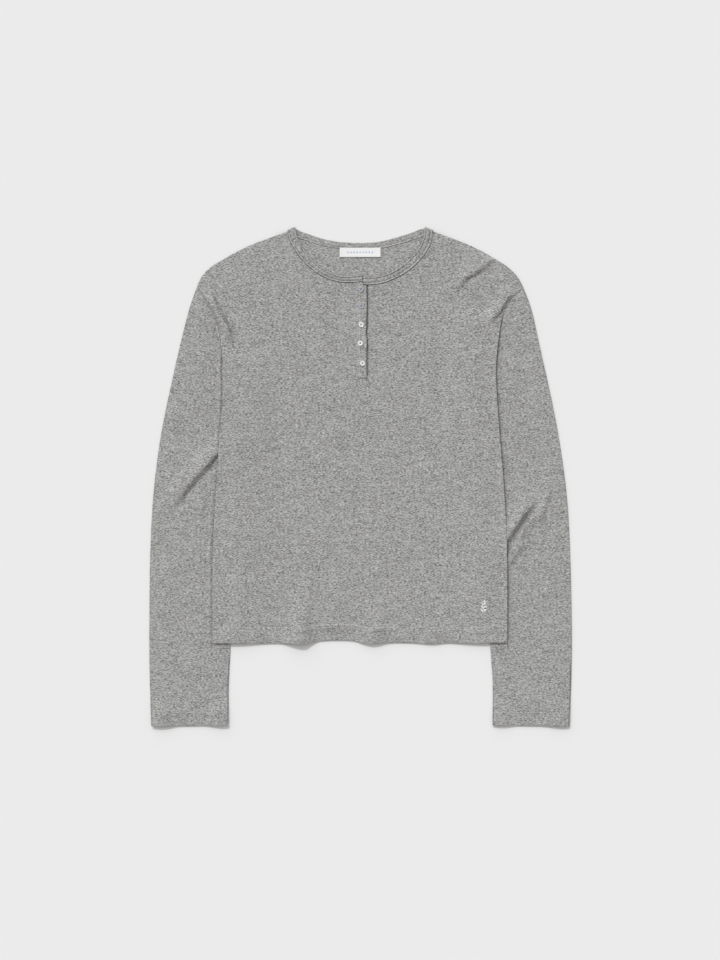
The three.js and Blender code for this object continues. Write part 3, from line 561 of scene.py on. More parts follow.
def rolled(distance, drop, reach=SEAM_ROLL):
    """How far an edge rolls down, as a quarter round, at a distance in from it."""
    share = 1 - np.clip(distance / reach, 0, 1)
    return drop * (1 - np.sqrt(1 - share**2))


def turn_up_at(distance):
    """How far a turned-up hem thickens the cloth at a distance from its edge."""
    return TURN_UP * smooth((HEM_DEPTH + TURN_UP_ABOVE - distance) / TURN_UP_WIDTH)


def ditch_at(distance):
    """How far the two rows of a hem's stitching pull the cloth in at a distance from its edge."""
    rows = np.minimum(np.abs(distance - HEM_DEPTH), np.abs(distance - HEM_DEPTH + ROW_APART))
    return STITCH_DITCH * smooth(1 - rows / DITCH_HALF)


def hem_form(distance):
    """The upper surface of a turned-up hem: its step, less the ditches of its stitching."""
    return turn_up_at(distance) - ditch_at(distance)


def front_height(x, y):
    """The upper surface of the front panel."""
    from_side = np.minimum(inside_left(x, y), inside_right(x, y))
    below_top = read(front_top, 0, x, 1) - y
    from_hem = y - read(hem_line, 0, x, 1)
    from_seam = np.minimum(from_side, below_top)
    puff = FRONT_PUFF * smooth(np.minimum(from_seam, from_hem) / PUFF_EDGE)
    neck = NECK_RISE * smooth(1 - distance_to(neck_line, x, y) / NECK_REACH)
    creases = crease_at(FRONT_CREASES, x, y) * smooth(from_seam / FRONT_CREASE_FADE)
    ripple = ripple_at(FRONT_RIPPLE, x, y) * smooth(from_seam / FRONT_RIPPLE_FADE)
    below_tuck = RIGHT_TUCK[0][1] - y
    edge = EDGE_RISE * smooth(1 - inside_right(x, y) / EDGE_REACH)
    edge *= smooth(below_tuck / EDGE_FADE_BELOW_TUCK) * smooth(from_hem / EDGE_FADE_ABOVE_HEM)
    form = np.maximum(puff, neck) + creases + ripple + edge + hem_form(from_hem)
    return panel_rise(x, y, FRONT_SLOPE) + np.maximum(LAYER + WALL + form, WALL + CLOTH + CLEARANCE)


def back_height(x, y):
    """The upper surface of the back panel, which is the inside of the shirt."""
    from_side = np.minimum(inside_left(x, y), inside_right(x, y))
    return panel_rise(x, y, BACK_SLOPE) + WALL + np.minimum(back_crease(from_side, x, y), LAYER_GAP)


def back_crease(from_side, x, y):
    """The rise of the back panel's creases, which keep clear of the tucked sleeves."""
    return crease_at(BACK_CREASES, x, y) * smooth((from_side - TUCK_REACH - BACK_SLOPE) / BACK_CREASE_FADE)


# ---------- Surfaces ----------


def patch(bottom, top, left, right, across, up):
    """Rows of points between four edges, each of which is kept exactly."""
    u = across[None, :, None]
    v = up[:, None, None]
    between = left[:, None] * (1 - u) + right[:, None] * u
    shaped = bottom[None] * (1 - v) + top[None] * v
    corners = (bottom[0] * (1 - u) + bottom[-1] * u) * (1 - v) + (top[0] * (1 - u) + top[-1] * u) * v
    return between + shaped - corners


def pull_at(y):
    """How far the placket's free edge is drawn in at the one place where it is pulled."""
    return PULL_DEPTH * smooth(1 - np.abs(y - PULL_AT) / PULL_REACH)


def up_normals(points, wrap):
    """The outward direction at each point of a grid of points."""
    if wrap:
        padded = np.concatenate([points[:, -1:], points, points[:, :1]], axis=1)
        across = padded[:, 2:] - padded[:, :-2]
    else:
        across = np.gradient(points, axis=1)
    normal = np.cross(across, np.gradient(points, axis=0))
    return normal / np.maximum(np.linalg.norm(normal, axis=2, keepdims=True), 1e-9)


def new_piece(name, vertices, faces, finish, uvs=None):
    """A smooth mesh object from millimetre vertices. Vertices that no face uses are left out."""
    flat = np.concatenate([np.ravel(f) for f in faces])
    used, flat = np.unique(flat, return_inverse=True)
    sizes = np.concatenate([np.full(len(f), f.shape[1]) for f in faces])
    mesh = bpy.data.meshes.new(name)
    kept = np.asarray(vertices, float)[used] * MM
    mesh.vertices.add(len(kept))
    mesh.vertices.foreach_set("co", kept.ravel())
    mesh.loops.add(len(flat))
    mesh.loops.foreach_set("vertex_index", flat.astype(np.int32))
    mesh.polygons.add(len(sizes))
    starts = np.concatenate([[0], np.cumsum(sizes)[:-1]])
    mesh.polygons.foreach_set("loop_start", starts.astype(np.int32))
    mesh.polygons.foreach_set("loop_total", sizes.astype(np.int32))
    mesh.polygons.foreach_set("use_smooth", np.ones(len(sizes), bool))
    if uvs is not None:
        layer = mesh.uv_layers.new(name="cloth")
        layer.data.foreach_set("uv", (uvs * MM).ravel().astype(np.float32))
    mesh.update(calc_edges=True)
    mesh.validate()
    mesh.materials.append(finish)
    piece = bpy.data.objects.new(name, mesh)
    scene.collection.objects.link(piece)
    return piece


def shell(name, points, wall, uv, finish, wrap=False, filled=None):
    """A closed cloth shell under a grid of points. uv holds one place for each point, and with wrap one
    more for each row. filled says which cells of the grid are there."""
    rows, columns = points.shape[:2]
    cells = columns if wrap else columns - 1
    if filled is None:
        filled = np.ones((rows - 1, cells), bool)
    wall = np.broadcast_to(np.asarray(wall, float), (rows, columns))[..., None]
    inward = up_normals(points, wrap) if wrap else np.array([0, 0, 1.0])
    vertices = np.concatenate([points.reshape(-1, 3), (points - inward * wall).reshape(-1, 3)])
    under = rows * columns
    row, cell = np.nonzero(filled)

    def vertex(r, c):
        """The number of the upper vertex in a row and column."""
        return r * columns + c % columns

    corner_rows = np.stack([row, row, row + 1, row + 1], axis=1)
    corner_cells = np.stack([cell, cell + 1, cell + 1, cell], axis=1)
    upper = vertex(corner_rows, corner_cells)
    faces = [upper, upper[:, ::-1] + under]
    uvs = [uv[corner_rows, corner_cells], uv[corner_rows, corner_cells][:, ::-1]]
    around = np.pad(filled, 1)
    if wrap:
        around[1:-1, 0] = filled[:, -1]
        around[1:-1, -1] = filled[:, 0]
    for side, (dr, dc) in enumerate([(-1, 0), (0, 1), (1, 0), (0, -1)]):
        open_here = ~around[row + 1 + dr, cell + 1 + dc]
        a, b = side, (side + 1) % 4
        first = upper[open_here, a]
        second = upper[open_here, b]
        faces.append(np.stack([second, first, first + under, second + under], axis=1))
        places = uv[corner_rows[open_here], corner_cells[open_here]]
        uvs.append(np.stack([places[:, b], places[:, a], places[:, a], places[:, b]], axis=1))
    flat_uvs = np.concatenate([u.reshape(-1, 2) for u in uvs])
    return new_piece(name, vertices, faces, finish, flat_uvs)


def body_rows(left_top, right_top):
    """The places of a body panel's points from its hem up, the cells across the slit and its lowest row."""
    low = stops(SIDE_LENGTH, SIDE_SPACING, start=(*EDGE_STOPS, *HEM_STOPS))
    high = stops(ARMHOLE_LENGTH, ARMHOLE_SPACING, end=EDGE_STOPS)
    halves = []
    for side_low, side_high, tops, centre_x in (
        (left_low, left_armhole, left_top, SLIT_LEFT),
        (right_low, right_armhole, right_top, SLIT_RIGHT),
    ):
        shoulder, neck = tops
        over_shoulder = stops(lengths(shoulder)[-1], SHOULDER_SPACING, start=SHOULDER_STOPS)
        over_neck = stops(lengths(neck)[-1], NECK_SPACING)
        below_neck = SHOULDER_SHARE + (1 - SHOULDER_SHARE) * over_neck[1:]
        across = np.concatenate([SHOULDER_SHARE * over_shoulder, below_neck])
        top = joined(at_shares(shoulder, over_shoulder), at_shares(neck, over_neck))
        start_x = side_low[0, 0]
        x = start_x + (centre_x - start_x) * across
        bottom = np.stack([x, read(hem_line, 0, x, 1)], axis=1)
        foot = np.array([centre_x, SLIT_FOOT])
        side = joined(at_shares(side_low, low), at_shares(side_high, high))
        centre = joined(
            at_shares(np.array([bottom[-1], foot]), low),
            at_shares(np.array([foot, top[-1]]), high),
        )
        edge_up = lengths(side) / lengths(side)[-1]
        halves.append(patch(bottom, top, side, centre, across, edge_up**3))
    left, right = halves
    shares = np.linspace(0, 1, SLIT_CELLS + 1)[1:-1]
    middle = left[:, -1:] * (1 - shares[None, :, None]) + right[:, -1:] * shares[None, :, None]
    grid = np.concatenate([left, middle, right[:, ::-1]], axis=1)
    slit = slice(left.shape[1] - 1, left.shape[1] + len(shares))
    return grid, slit, len(low) - 1


def raised(grid, heights):
    """A grid of places given their heights."""
    return np.concatenate([grid, heights[..., None]], axis=2)


def make_front(finish):
    """The front panel, with its slit, its rolled edges and its turned-up hem."""
    grid, slit, foot_row = body_rows((left_shoulder, left_neck), (right_shoulder, right_neck[::-1]))
    right_of_slit = grid[..., 0] - SLIT_RIGHT
    grid[..., 0] -= (right_of_slit > -0.01) * pull_at(grid[..., 1]) * smooth(1 - right_of_slit / PULL_FADE)
    x, y = grid[..., 0], grid[..., 1]
    from_side = np.minimum(inside_left(x, y), inside_right(x, y))
    from_top = distance_to(front_top, x, y)
    from_armhole = np.minimum(distance_to(left_armhole, x, y), distance_to(right_armhole, x, y))
    from_hem = y - read(hem_line, 0, x, 1)
    side_seam = (y < LEFT_TUCK[-1][1]) | ((x > 0) & (y < RIGHT_TUCK[-1][1]))
    beside_slit = (y > SLIT_FOOT - 0.5) & (x > SLIT_MIDDLE)
    from_slit = np.where(beside_slit, x - SLIT_RIGHT + pull_at(y), np.inf)
    drop = np.max([
        rolled(np.where(side_seam, from_side, np.inf), SIDE_DROP, SIDE_ROLL),
        rolled(np.minimum(from_top, from_armhole), SEAM_DROP),
        rolled(distance_to(neck_line, x, y), NECK_DROP, NECK_ROLL),
        rolled(from_hem, SEAM_DROP, HEM_ROLL),
        rolled(np.maximum(from_slit, 0), SLIT_DROP, SLIT_ROLL),
    ], axis=0)
    height = front_height(x, y) - drop
    wall = CLOTH + turn_up_at(from_hem) - THINNER * (drop > THIN_FROM)
    filled = np.ones((grid.shape[0] - 1, grid.shape[1] - 1), bool)
    filled[foot_row:, slit] = False
    return shell("front", raised(grid, height), wall, grid, finish, filled=filled)


def make_back(finish):
    """The back panel, which lies flat under the shirt, with the neckband along its top."""
    centre = int(np.argmin(np.abs(back_neck[:, 0] - SLIT_LEFT)))
    middle = int(np.argmin(np.abs(back_neck[:, 0] - SLIT_RIGHT)))
    left_neck_line = back_neck[: centre + 1]
    right_neck_line = back_neck[middle:][::-1]
    grid, _, _ = body_rows((left_shoulder, left_neck_line), (right_shoulder, right_neck_line))
    x, y = grid[..., 0], grid[..., 1]
    from_side = np.minimum(inside_left(x, y), inside_right(x, y))
    from_hem = y - read(hem_line, 0, x, 1)
    drop = rolled(from_side, BACK_DROP) + rolled(distance_to(back_top, x, y), BACK_DROP)
    height = back_height(x, y) - drop
    under = panel_rise(x, y, BACK_SLOPE) + back_crease(from_side, x, y) + ditch_at(from_hem)
    under = np.minimum(under, height - BACK_THINNEST)
    return shell("back", raised(grid, height), height - under, grid, finish)


# ---------- Sleeves ----------

SleeveForm = namedtuple(
    "SleeveForm",
    "name armhole tuck outer inner sections lifts creases inside outward groove pocket tilt elbow ripple",
)


def beside(line, gap):
    """Moves a line sideways, to its right as it runs."""
    run = np.gradient(line, axis=0)
    run /= np.linalg.norm(run, axis=1, keepdims=True)
    return line + gap * np.stack([run[:, 1], -run[:, 0]], axis=1)


def sleeve_edges(form):
    """The seam of a sleeve and its two long edges, each from the armhole down."""
    open_part = joined(form.armhole[::-1], curve(form.tuck)[::-1])
    under = np.array([open_part[-1], form.inner[0]], float)
    seam = joined(beside(open_part, form.outward * SEAM_GAP), under)
    outer = curve([tuple(seam[0]), *form.outer])
    inner = curve(form.inner)
    return seam, outer, inner


def sleeve_rows(form, seam, outer, inner):
    """The places of a sleeve's points, a row for each section, from its seam to its cuff."""
    outer_up, inner_up = outer[::-1], inner[::-1]
    outer_y = np.array([outer[0, 1], *(s[0] for s in form.sections), outer_up[0, 1]])
    inner_y = np.array([inner[0, 1], *(s[1] for s in form.sections), inner_up[0, 1]])
    place = np.linspace(0, 1, len(outer_y))
    shares = stops(SLEEVE_LENGTH, SLEEVE_LENGTH_SPACING, start=EDGE_STOPS, end=(*EDGE_STOPS, *HEM_STOPS))
    y_out = np.interp(shares, *even_steps(outer_y, place))
    y_in = np.interp(shares, *even_steps(inner_y, place))
    left = np.stack([read(outer_up, 1, y_out, 0), y_out], axis=1)
    right = np.stack([read(inner_up, 1, y_in, 0), y_in], axis=1)
    across = stops(SLEEVE_WIDTH, SLEEVE_WIDTH_SPACING, start=SLEEVE_EDGE_STOPS, end=SLEEVE_EDGE_STOPS)
    top = at_shares(seam, across)
    left[0], right[0] = top[0], top[-1]
    cuff = left[-1] * (1 - across[:, None]) + right[-1] * across[:, None]
    return patch(top, cuff, left, right, across, 1 - (1 - shares) ** 3)


def even_steps(heights, place):
    """Smoothed readings of a table of heights, as places and heights for np.interp."""
    line = curve(np.stack([place * 1000, heights], axis=1))
    order = np.maximum.accumulate(line[:, 0])
    return order / 1000, line[:, 1]


def sleeve_low(form, x, y):
    """The under surface of a sleeve."""
    return lift_at(form.lifts, x, y)


def sleeve_top(form, outer, x, y):
    """The upper surface of a sleeve."""
    outer_up = outer[::-1]
    from_fold = np.abs(x - read(outer_up, 1, y, 0))
    from_cuff = y - outer_up[0, 1]
    outside_body = -form.inside(x, y)
    from_edge = np.minimum(np.minimum(outside_body, from_fold), from_cuff)
    puff = SLEEVE_PUFF * smooth(from_edge / SLEEVE_PUFF_EDGE)
    from_round = np.minimum(from_fold, np.maximum(outside_body + CREASE_UNDER_BODY, 0))
    creases = crease_at(form.creases, x, y) * smooth(from_round / SLEEVE_CREASE_FADE)
    ripple = ripple_at(form.ripple, x, y) * smooth(from_edge / SLEEVE_RIPPLE_FADE)
    groove = groove_at(form, outside_body, x, y) * smooth(from_fold / GROOVE_FROM_FOLD)
    rise = puff + creases + ripple + groove + hem_form(from_cuff)
    return sleeve_low(form, x, y) + np.maximum(LAYER + WALL + rise, 2 * CLOTH + CLEARANCE)


def groove_at(form, outside_body, x, y):
    """The groove along the body's edge with the ridge outside it, and the hollow where the fold starts."""
    from_pocket = np.hypot(x - form.pocket[0], y - form.pocket[1])
    ridge = GROOVE_RIDGE * smooth(1 - np.abs(outside_body - form.groove - RIDGE_FROM_GROOVE) / RIDGE_HALF)
    ridge = ridge * smooth(from_pocket / POCKET_REACH)
    groove = GROOVE_DROP * smooth(1 - np.abs(outside_body - GROOVE_FROM_EDGE) / form.groove)
    hollow = POCKET_DROP * smooth(1 - from_pocket / POCKET_HOLLOW)
    below_tuck = smooth((form.tuck[-1][1] - GROOVE_BELOW_TUCK - y) / GROOVE_FADE)
    return (ridge - groove - hollow) * below_tuck * smooth((y - GROOVE_FOOT) / GROOVE_FADE)


def sleeve_uv(form, x, y):
    """Cloth places on a sleeve: across it and along it, turned with the upper arm above the elbow."""
    elbow_x, elbow_y = form.elbow
    angle = form.tilt * smooth((y - elbow_y) / ELBOW_LENGTH + 0.5)
    dx, dy = x - elbow_x, y - elbow_y
    across = dx * np.cos(angle) + dy * np.sin(angle)
    along = dy * np.cos(angle) - dx * np.sin(angle)
    return np.stack([across, along], axis=-1)


def make_sleeve(form, finish):
    """One sleeve as a flattened tube: its upper face, its outer fold, its under face and its inner fold."""
    seam, outer, inner = sleeve_edges(form)
    rows = sleeve_rows(form, seam, outer, inner)
    out_way = rows[:, 0] - rows[:, 1]
    out_way /= np.linalg.norm(out_way, axis=1, keepdims=True)
    in_way = rows[:, -1] - rows[:, -2]
    in_way /= np.linalg.norm(in_way, axis=1, keepdims=True)
    rows[:, 0] -= FOLD_DEPTH * out_way
    rows[:, -1] -= FOLD_DEPTH * in_way
    x, y = rows[..., 0], rows[..., 1]
    from_seam = distance_to(seam, x, y)
    seam_drop = rolled(from_seam, SEAM_DROP) * (form.inside(x, y) < 1)
    top = raised(rows, sleeve_top(form, outer, x, y) - seam_drop)
    under_rise = np.minimum(crease_at(SLEEVE_UNDER_CREASES, x, y), UNDER_CREASE_RISE)
    base = raised(rows, sleeve_low(form, x, y) + under_rise)

    def fold(column, way, angles):
        """Columns of points round one fold, from the upper face to the under one."""
        centre = (top[:, column] + base[:, column]) / 2
        half = (top[:, column, 2] - base[:, column, 2]) / 2
        around = []
        for angle in angles:
            place = centre.copy()
            place[:, :2] += FOLD_DEPTH * math.sin(angle) * way
            place[:, 2] += half * math.cos(angle)
            around.append(place)
        return np.stack(around, axis=1)

    turn = np.linspace(0, math.pi, FOLD_STEPS + 2)[1:-1]
    quarter = turn[turn <= math.pi / 2 + 1e-6]
    inner_upper = fold(-1, in_way, quarter[::-1])
    inner_lower = fold(-1, in_way, (math.pi - quarter)[:-1])
    outer_fold = fold(0, out_way, turn)
    ring = np.concatenate([inner_upper, top[:, ::-1], outer_fold, base, inner_lower], axis=1)
    if form.outward < 0:
        ring = ring[:, ::-1]
    uv = sleeve_uv(form, ring[..., 0], ring[..., 1])
    uv = np.concatenate([uv, uv[:, :1]], axis=1)
    normals = up_normals(ring, True)
    middle = ring.shape[0] // 2
    if normals[middle, np.argmax(ring[middle, :, 2]), 2] < 0:
        ring, uv = ring[::-1], uv[::-1]
    return shell(form.name, ring, CLOTH, uv, finish, wrap=True)


LEFT_SLEEVE = SleeveForm(
    "left_sleeve", left_armhole, LEFT_TUCK, LEFT_OUTER, LEFT_INNER, LEFT_SECTIONS, LEFT_CUFF_LIFTS,
    LEFT_SLEEVE_CREASES, inside_left, 1, LEFT_GROOVE, (-209, 24), -0.17, (-245, 20), LEFT_SLEEVE_RIPPLE,
)
RIGHT_SLEEVE = SleeveForm(
    "right_sleeve", right_armhole, RIGHT_TUCK, RIGHT_OUTER, RIGHT_INNER, RIGHT_SECTIONS, RIGHT_CUFF_LIFTS,
    RIGHT_SLEEVE_CREASES, inside_right, -1, RIGHT_GROOVE, (214.5, -99), 0.17, (245, -30),
    RIGHT_SLEEVE_RIPPLE,
)

# ---------- Neckband ----------

BAND_FOLD = (BAND_WALL + BAND_GAP) / 2
BAND_TURNS = 12
BAND_WIDTH = 10
# Across the band from its free edge: share of the width and height over the middle of the cloth.
BAND_UPPER = [
    (0.0, 0.0), (0.012, 0.7), (0.035, 1.15), (0.07, 1.4), (0.11, 1.3), (0.145, 0.7), (0.175, 0.0),
    (0.21, -0.1), (0.25, 0.45), (0.32, 0.8), (0.45, 0.9), (0.56, 0.85), (0.65, 0.6), (0.705, -0.1),
    (0.74, -0.35), (0.775, -0.3), (0.81, 0.6), (0.85, 1.45), (0.895, 1.7), (0.94, 1.4), (0.98, 0.5),
    (1.0, -0.1),
]
# The same for its other face, from the seam back to the free edge.
BAND_LOWER = [
    (0.985, -0.6), (0.93, -0.9), (0.87, -1.0), (0.81, -0.85), (0.76, -0.5), (0.71, -0.5), (0.66, -0.75),
    (0.5, -0.8), (0.3, -0.75), (0.235, -0.5), (0.2, -0.5), (0.14, -0.8), (0.08, -0.85), (0.015, -0.5),
]


def band_section(station, height, turn):
    """One section of the band as a ring of points, turned about its fold by an angle.

    Its relief runs out as it turns, and the face that ends up underneath stays plain.
    """
    free = np.array([station.free_x, station.free_y])
    seam = np.array([station.seam_x, station.seam_y])
    across = (seam - free) / np.linalg.norm(seam - free)
    seam = seam - across * SEAM_GAP * 0.5
    out = np.array([across[1], -across[0]])
    if out[1] < 0:
        out = -out
    lift, reach = math.cos(turn), math.sin(turn)
    ring = []
    for share, lying_rise in BAND_UPPER + BAND_LOWER:
        rise = lying_rise * abs(lift) + math.copysign(BAND_WALL / 2, lying_rise) * (1 - abs(lift))
        if lift < 0:
            rise = min(rise, BAND_WALL / 2)
        place = free * (1 - share) + seam * share + out * reach * (BAND_FOLD + rise)
        ring.append([*place, height + lift * (BAND_FOLD + rise)])
    return np.array(ring)


def smooth_stations(stations, spacing):
    """Stations at an even spacing along a band, between the rows of its table."""
    table = np.array(stations, float)
    line = curve(table)
    seam_length = lengths(line[:, 2:])
    count = max(4, round(seam_length[-1] / spacing))
    wanted = np.linspace(0, seam_length[-1], count + 1)
    return [Station(*(np.interp(at, seam_length, column) for column in line.T)) for at in wanted]


def make_neckband(finish):
    """The band from one end of the placket round the back neck to the other, folded over at each side."""
    middle = BAND_WALL + BAND_GAP / 2

    def ended(station, x):
        """A station with its free and seam edges at one place across."""
        return station._replace(free_x=x, seam_x=x)

    left_end = ended(LEFT_BAND[0], BAND_END - SEAM_GAP / 2)
    right_end = ended(RIGHT_BAND[0], BAND_END + SEAM_GAP / 2)
    left = smooth_stations([left_end, *LEFT_BAND], BAND_SPACING)
    right = smooth_stations([right_end, *RIGHT_BAND], BAND_SPACING)
    back = smooth_stations(BACK_BAND, BAND_SPACING)
    turns = [math.pi * (step + 1) / (BAND_TURNS + 1) for step in range(BAND_TURNS)]
    sections = (
        [band_section(s, middle, 0) for s in left]
        + [band_section(LEFT_BAND[-1], middle, turn) for turn in turns]
        + [band_section(s, middle, math.pi) for s in back]
        + [band_section(RIGHT_BAND[-1], middle, turn) for turn in reversed(turns)]
        + [band_section(s, middle, 0) for s in reversed(right)]
    )
    rings = np.stack(sections)
    along = lengths(rings[:, len(BAND_UPPER) // 2])
    over = [share for share, _ in BAND_UPPER]
    under = [2 - share for share, _ in BAND_LOWER]
    across = BAND_WIDTH * np.array([*over, *under, 2])
    uv = np.stack(np.meshgrid(along, across, indexing="ij"), axis=-1)
    return closed_ring("neckband_cloth", rings, uv, finish)


def closed_ring(name, rings, uv, finish):
    """A solid strip through rings of points, closed at both ends."""
    sections, around = rings.shape[:2]
    section = np.arange(sections - 1)[:, None]
    side = np.arange(around)[None, :]
    following = (side + 1) % around
    a = section * around + side
    b = section * around + following
    faces = np.stack([a, b, b + around, a + around], axis=2).reshape(-1, 4)
    corner_uv = np.stack([
        uv[:-1, :-1], uv[:-1, 1:], uv[1:, 1:], uv[1:, :-1],
    ], axis=2).reshape(-1, 4, 2)
    caps = []
    cap_uvs = []
    vertices = rings.reshape(-1, 3)
    hubs = np.stack([rings[0].mean(axis=0), rings[-1].mean(axis=0)])
    vertices = np.vstack([vertices, hubs])
    for end, flip in ((0, False), (sections - 1, True)):
        hub = sections * around + (1 if end else 0)
        first = end * around + np.arange(around)
        second = end * around + (np.arange(around) + 1) % around
        cap = np.stack([second, first, np.full(around, hub)], axis=1)
        caps.append(cap[:, ::-1] if flip else cap)
        cap_uvs.append(np.repeat(uv[end, :1], around * 3, axis=0))
    every = [faces, *caps]
    flat_uvs = np.concatenate([corner_uv.reshape(-1, 2), *cap_uvs])
    piece = new_piece(name, vertices, every, finish, flat_uvs)
    return outward(piece)


def outward(piece):
    """Turns a closed mesh's faces to the outside if they face in."""
    mesh = piece.data
    mesh.calc_loop_triangles()
    corners = np.zeros(len(mesh.loop_triangles) * 3, np.int32)
    mesh.loop_triangles.foreach_get("vertices", corners)
    places = np.zeros(len(mesh.vertices) * 3)
    mesh.vertices.foreach_get("co", places)
    a, b, c = places.reshape(-1, 3)[corners.reshape(-1, 3)].transpose(1, 0, 2)
    if (a * np.cross(b, c)).sum() < 0:
        mesh.flip_normals()
    return piece


# ---------- Placket strips ----------


def strip_right_edge(y):
    """The free edge of the upper strip, which pulls in between its buttons."""
    wave = STRIP_WAVE * np.sin(math.pi * (y - STRIP_FOOT) / STRIP_WAVE_PITCH) ** 2
    return STRIP_RIGHT - wave - pull_at(y)


def strip_grid(left, right_at, foot):
    """The places of a strip's points, whose top follows the step between the neckband's two ends."""
    left_top = LEFT_BAND[0].seam_y - SEAM_GAP
    right_top = RIGHT_BAND[0].seam_y - SEAM_GAP
    shares = stops(left_top - foot, STRIP_LENGTH_SPACING, STRIP_END_STOPS, STRIP_END_STOPS)
    across = stops(STRIP_RIGHT - STRIP_LEFT, STRIP_WIDTH_SPACING, STRIP_SIDE_STOPS, STRIP_SIDE_STOPS)
    high = foot + (left_top - foot) * shares
    low = foot + (right_top - foot) * shares
    step = BAND_END - SEAM_GAP / 2
    rows = []
    for y_high, y_low in zip(high, low):
        x = left + (right_at(y_low) - left) * across
        rows.append(np.stack([x, np.where(x < step, y_high, y_low)], axis=1))
    return np.stack(rows)


def under_right_edge(y):
    """The edge of the under strip, which stays hidden below the upper one."""
    return strip_right_edge(y) - UNDER_SHORT


def make_under_strip(finish):
    """The strip that lies in the slit, a little below the front."""
    grid = strip_grid(SLIT_LEFT + SEAM_GAP, under_right_edge, SLIT_FOOT + SEAM_GAP)
    height = front_height(grid[..., 0], grid[..., 1]) - UNDER_BELOW_FRONT
    return shell("placket_under_strip", raised(grid, height), CLOTH, grid, finish)


def upper_strip_top(x, y):
    """The upper surface of the upper strip: almost level with the front on its left, folded on its right."""
    thick = STRIP_THIN + (SEAM_GAP + WALL - STRIP_THIN) * smooth((x - STRIP_LEFT) / STRIP_BLEND)
    ditch = 0
    for ditch_x, (depth, half) in ((STRIP_STITCH_X, STRIP_DITCH), (STRIP_FAINT_X, FAINT_DITCH)):
        ditch = ditch + depth * smooth(1 - np.abs(x - ditch_x) / half)
    from_edge = strip_right_edge(y) - x
    ridge = STRIP_RIDGE * smooth(1 - np.abs(from_edge - STRIP_RIDGE_FROM_EDGE) / STRIP_RIDGE_HALF)
    corner = CORNER_RISE * smooth(1 - np.hypot(x - STRIP_RIGHT, y - STRIP_FOOT) / CORNER_REACH)
    return front_height(x, y) + thick + corner - ditch + ridge - rolled(from_edge, STRIP_DROP, STRIP_ROLL)


def make_upper_strip(finish):
    """The strip that overlaps, thin where it is sewn to the front and free along its right."""
    grid = strip_grid(STRIP_LEFT, strip_right_edge, STRIP_FOOT)
    x, y = grid[..., 0], grid[..., 1]
    top = upper_strip_top(x, y)
    wall = np.clip(top - front_height(x, y) - STRIP_OVER_FRONT, STRIP_THINNEST, CLOTH)
    return shell("placket_upper_strip", raised(grid, top), wall, grid, finish)


# ---------- Stitches ----------

CAPSULE_AROUND = 6
CAPSULE_PROFILE = [(-0.5, 0.0), (-0.46, 0.62), (-0.3, 1.0), (0.3, 1.0), (0.46, 0.62), (0.5, 0.0)]


def capsules(centres, ways, long, radius, flat=1.0):
    """Vertices and faces of small rounded threads, one for each centre and direction."""
    centres = np.asarray(centres, float)
    ways = np.asarray(ways, float)
    ways = ways / np.linalg.norm(ways, axis=1, keepdims=True)
    long = np.broadcast_to(np.asarray(long, float), (len(centres),))
    up = np.array([0, 0, 1.0])
    side = np.cross(ways, up)
    side /= np.maximum(np.linalg.norm(side, axis=1, keepdims=True), 1e-9)
    over = np.cross(side, ways)
    angles = np.arange(CAPSULE_AROUND) * 2 * math.pi / CAPSULE_AROUND
    rings = []
    for share, width in CAPSULE_PROFILE:
        base = centres + ways * (share * long)[:, None]
        for angle in angles:
            off = side * math.cos(angle) * radius * width + over * math.sin(angle) * radius * width * flat
            rings.append(base + off)
    vertices = np.stack(rings, axis=1)
    per = len(CAPSULE_PROFILE) * CAPSULE_AROUND
    quads = []
    for ring in range(len(CAPSULE_PROFILE) - 1):
        for step in range(CAPSULE_AROUND):
            after = (step + 1) % CAPSULE_AROUND
            low, high = ring * CAPSULE_AROUND, (ring + 1) * CAPSULE_AROUND
            quads.append([low + step, high + step, high + after, low + after])
    quads = np.array(quads)
    faces = (np.arange(len(centres)) * per)[:, None, None] + quads[None]
    return vertices.reshape(-1, 3), faces.reshape(-1, 4)


def combined(name, parts, finish):
    """One joined mesh from several sets of vertices and faces."""
    vertices, faces, count = [], [], 0
    for points, corners in parts:
        vertices.append(points)
        faces.append(corners + count)
        count += len(points)
    return outward(new_piece(name, np.vstack(vertices), [np.vstack(faces)], finish))


def stitch_row(
    line, height_at, pitch=STITCH_PITCH, long=STITCH_LENGTH, radius=STITCH_RADIUS, sink=STITCH_SINK,
):
    """A row of straight stitches along a line, lying on a surface."""
    total = lengths(line)[-1]
    count = int(total / pitch)
    centres = at_shares(line, (np.arange(count) + 0.5) * pitch / total)
    ahead = at_shares(line, np.clip((np.arange(count) + 0.8) * pitch / total, 0, 1))
    z = height_at(centres[:, 0], centres[:, 1])
    z_ahead = height_at(ahead[:, 0], ahead[:, 1])
    places = np.column_stack([centres, z + radius - sink])
    ways = np.column_stack([ahead - centres, z_ahead - z])
    return capsules(places, ways, long, radius)


def hem_stitches(finish):
    """Two rows along the hem, on the front's upper side and the back's under side."""
    def under_back(x, y):
        """The under surface of the back panel, which the stitches just reach through."""
        return panel_rise(x, y, BACK_SLOPE) + HEM_UNDER_STITCH

    parts = []
    x = np.linspace(*HEM_STITCH_ENDS, 400)
    for depth in (HEM_DEPTH, HEM_DEPTH - ROW_APART):
        line = np.stack([x, read(hem_line, 0, x, 1) + depth], axis=1)
        parts += [stitch_row(line, front_height), stitch_row(line, under_back)]
    return combined("hem_stitching", parts, finish)


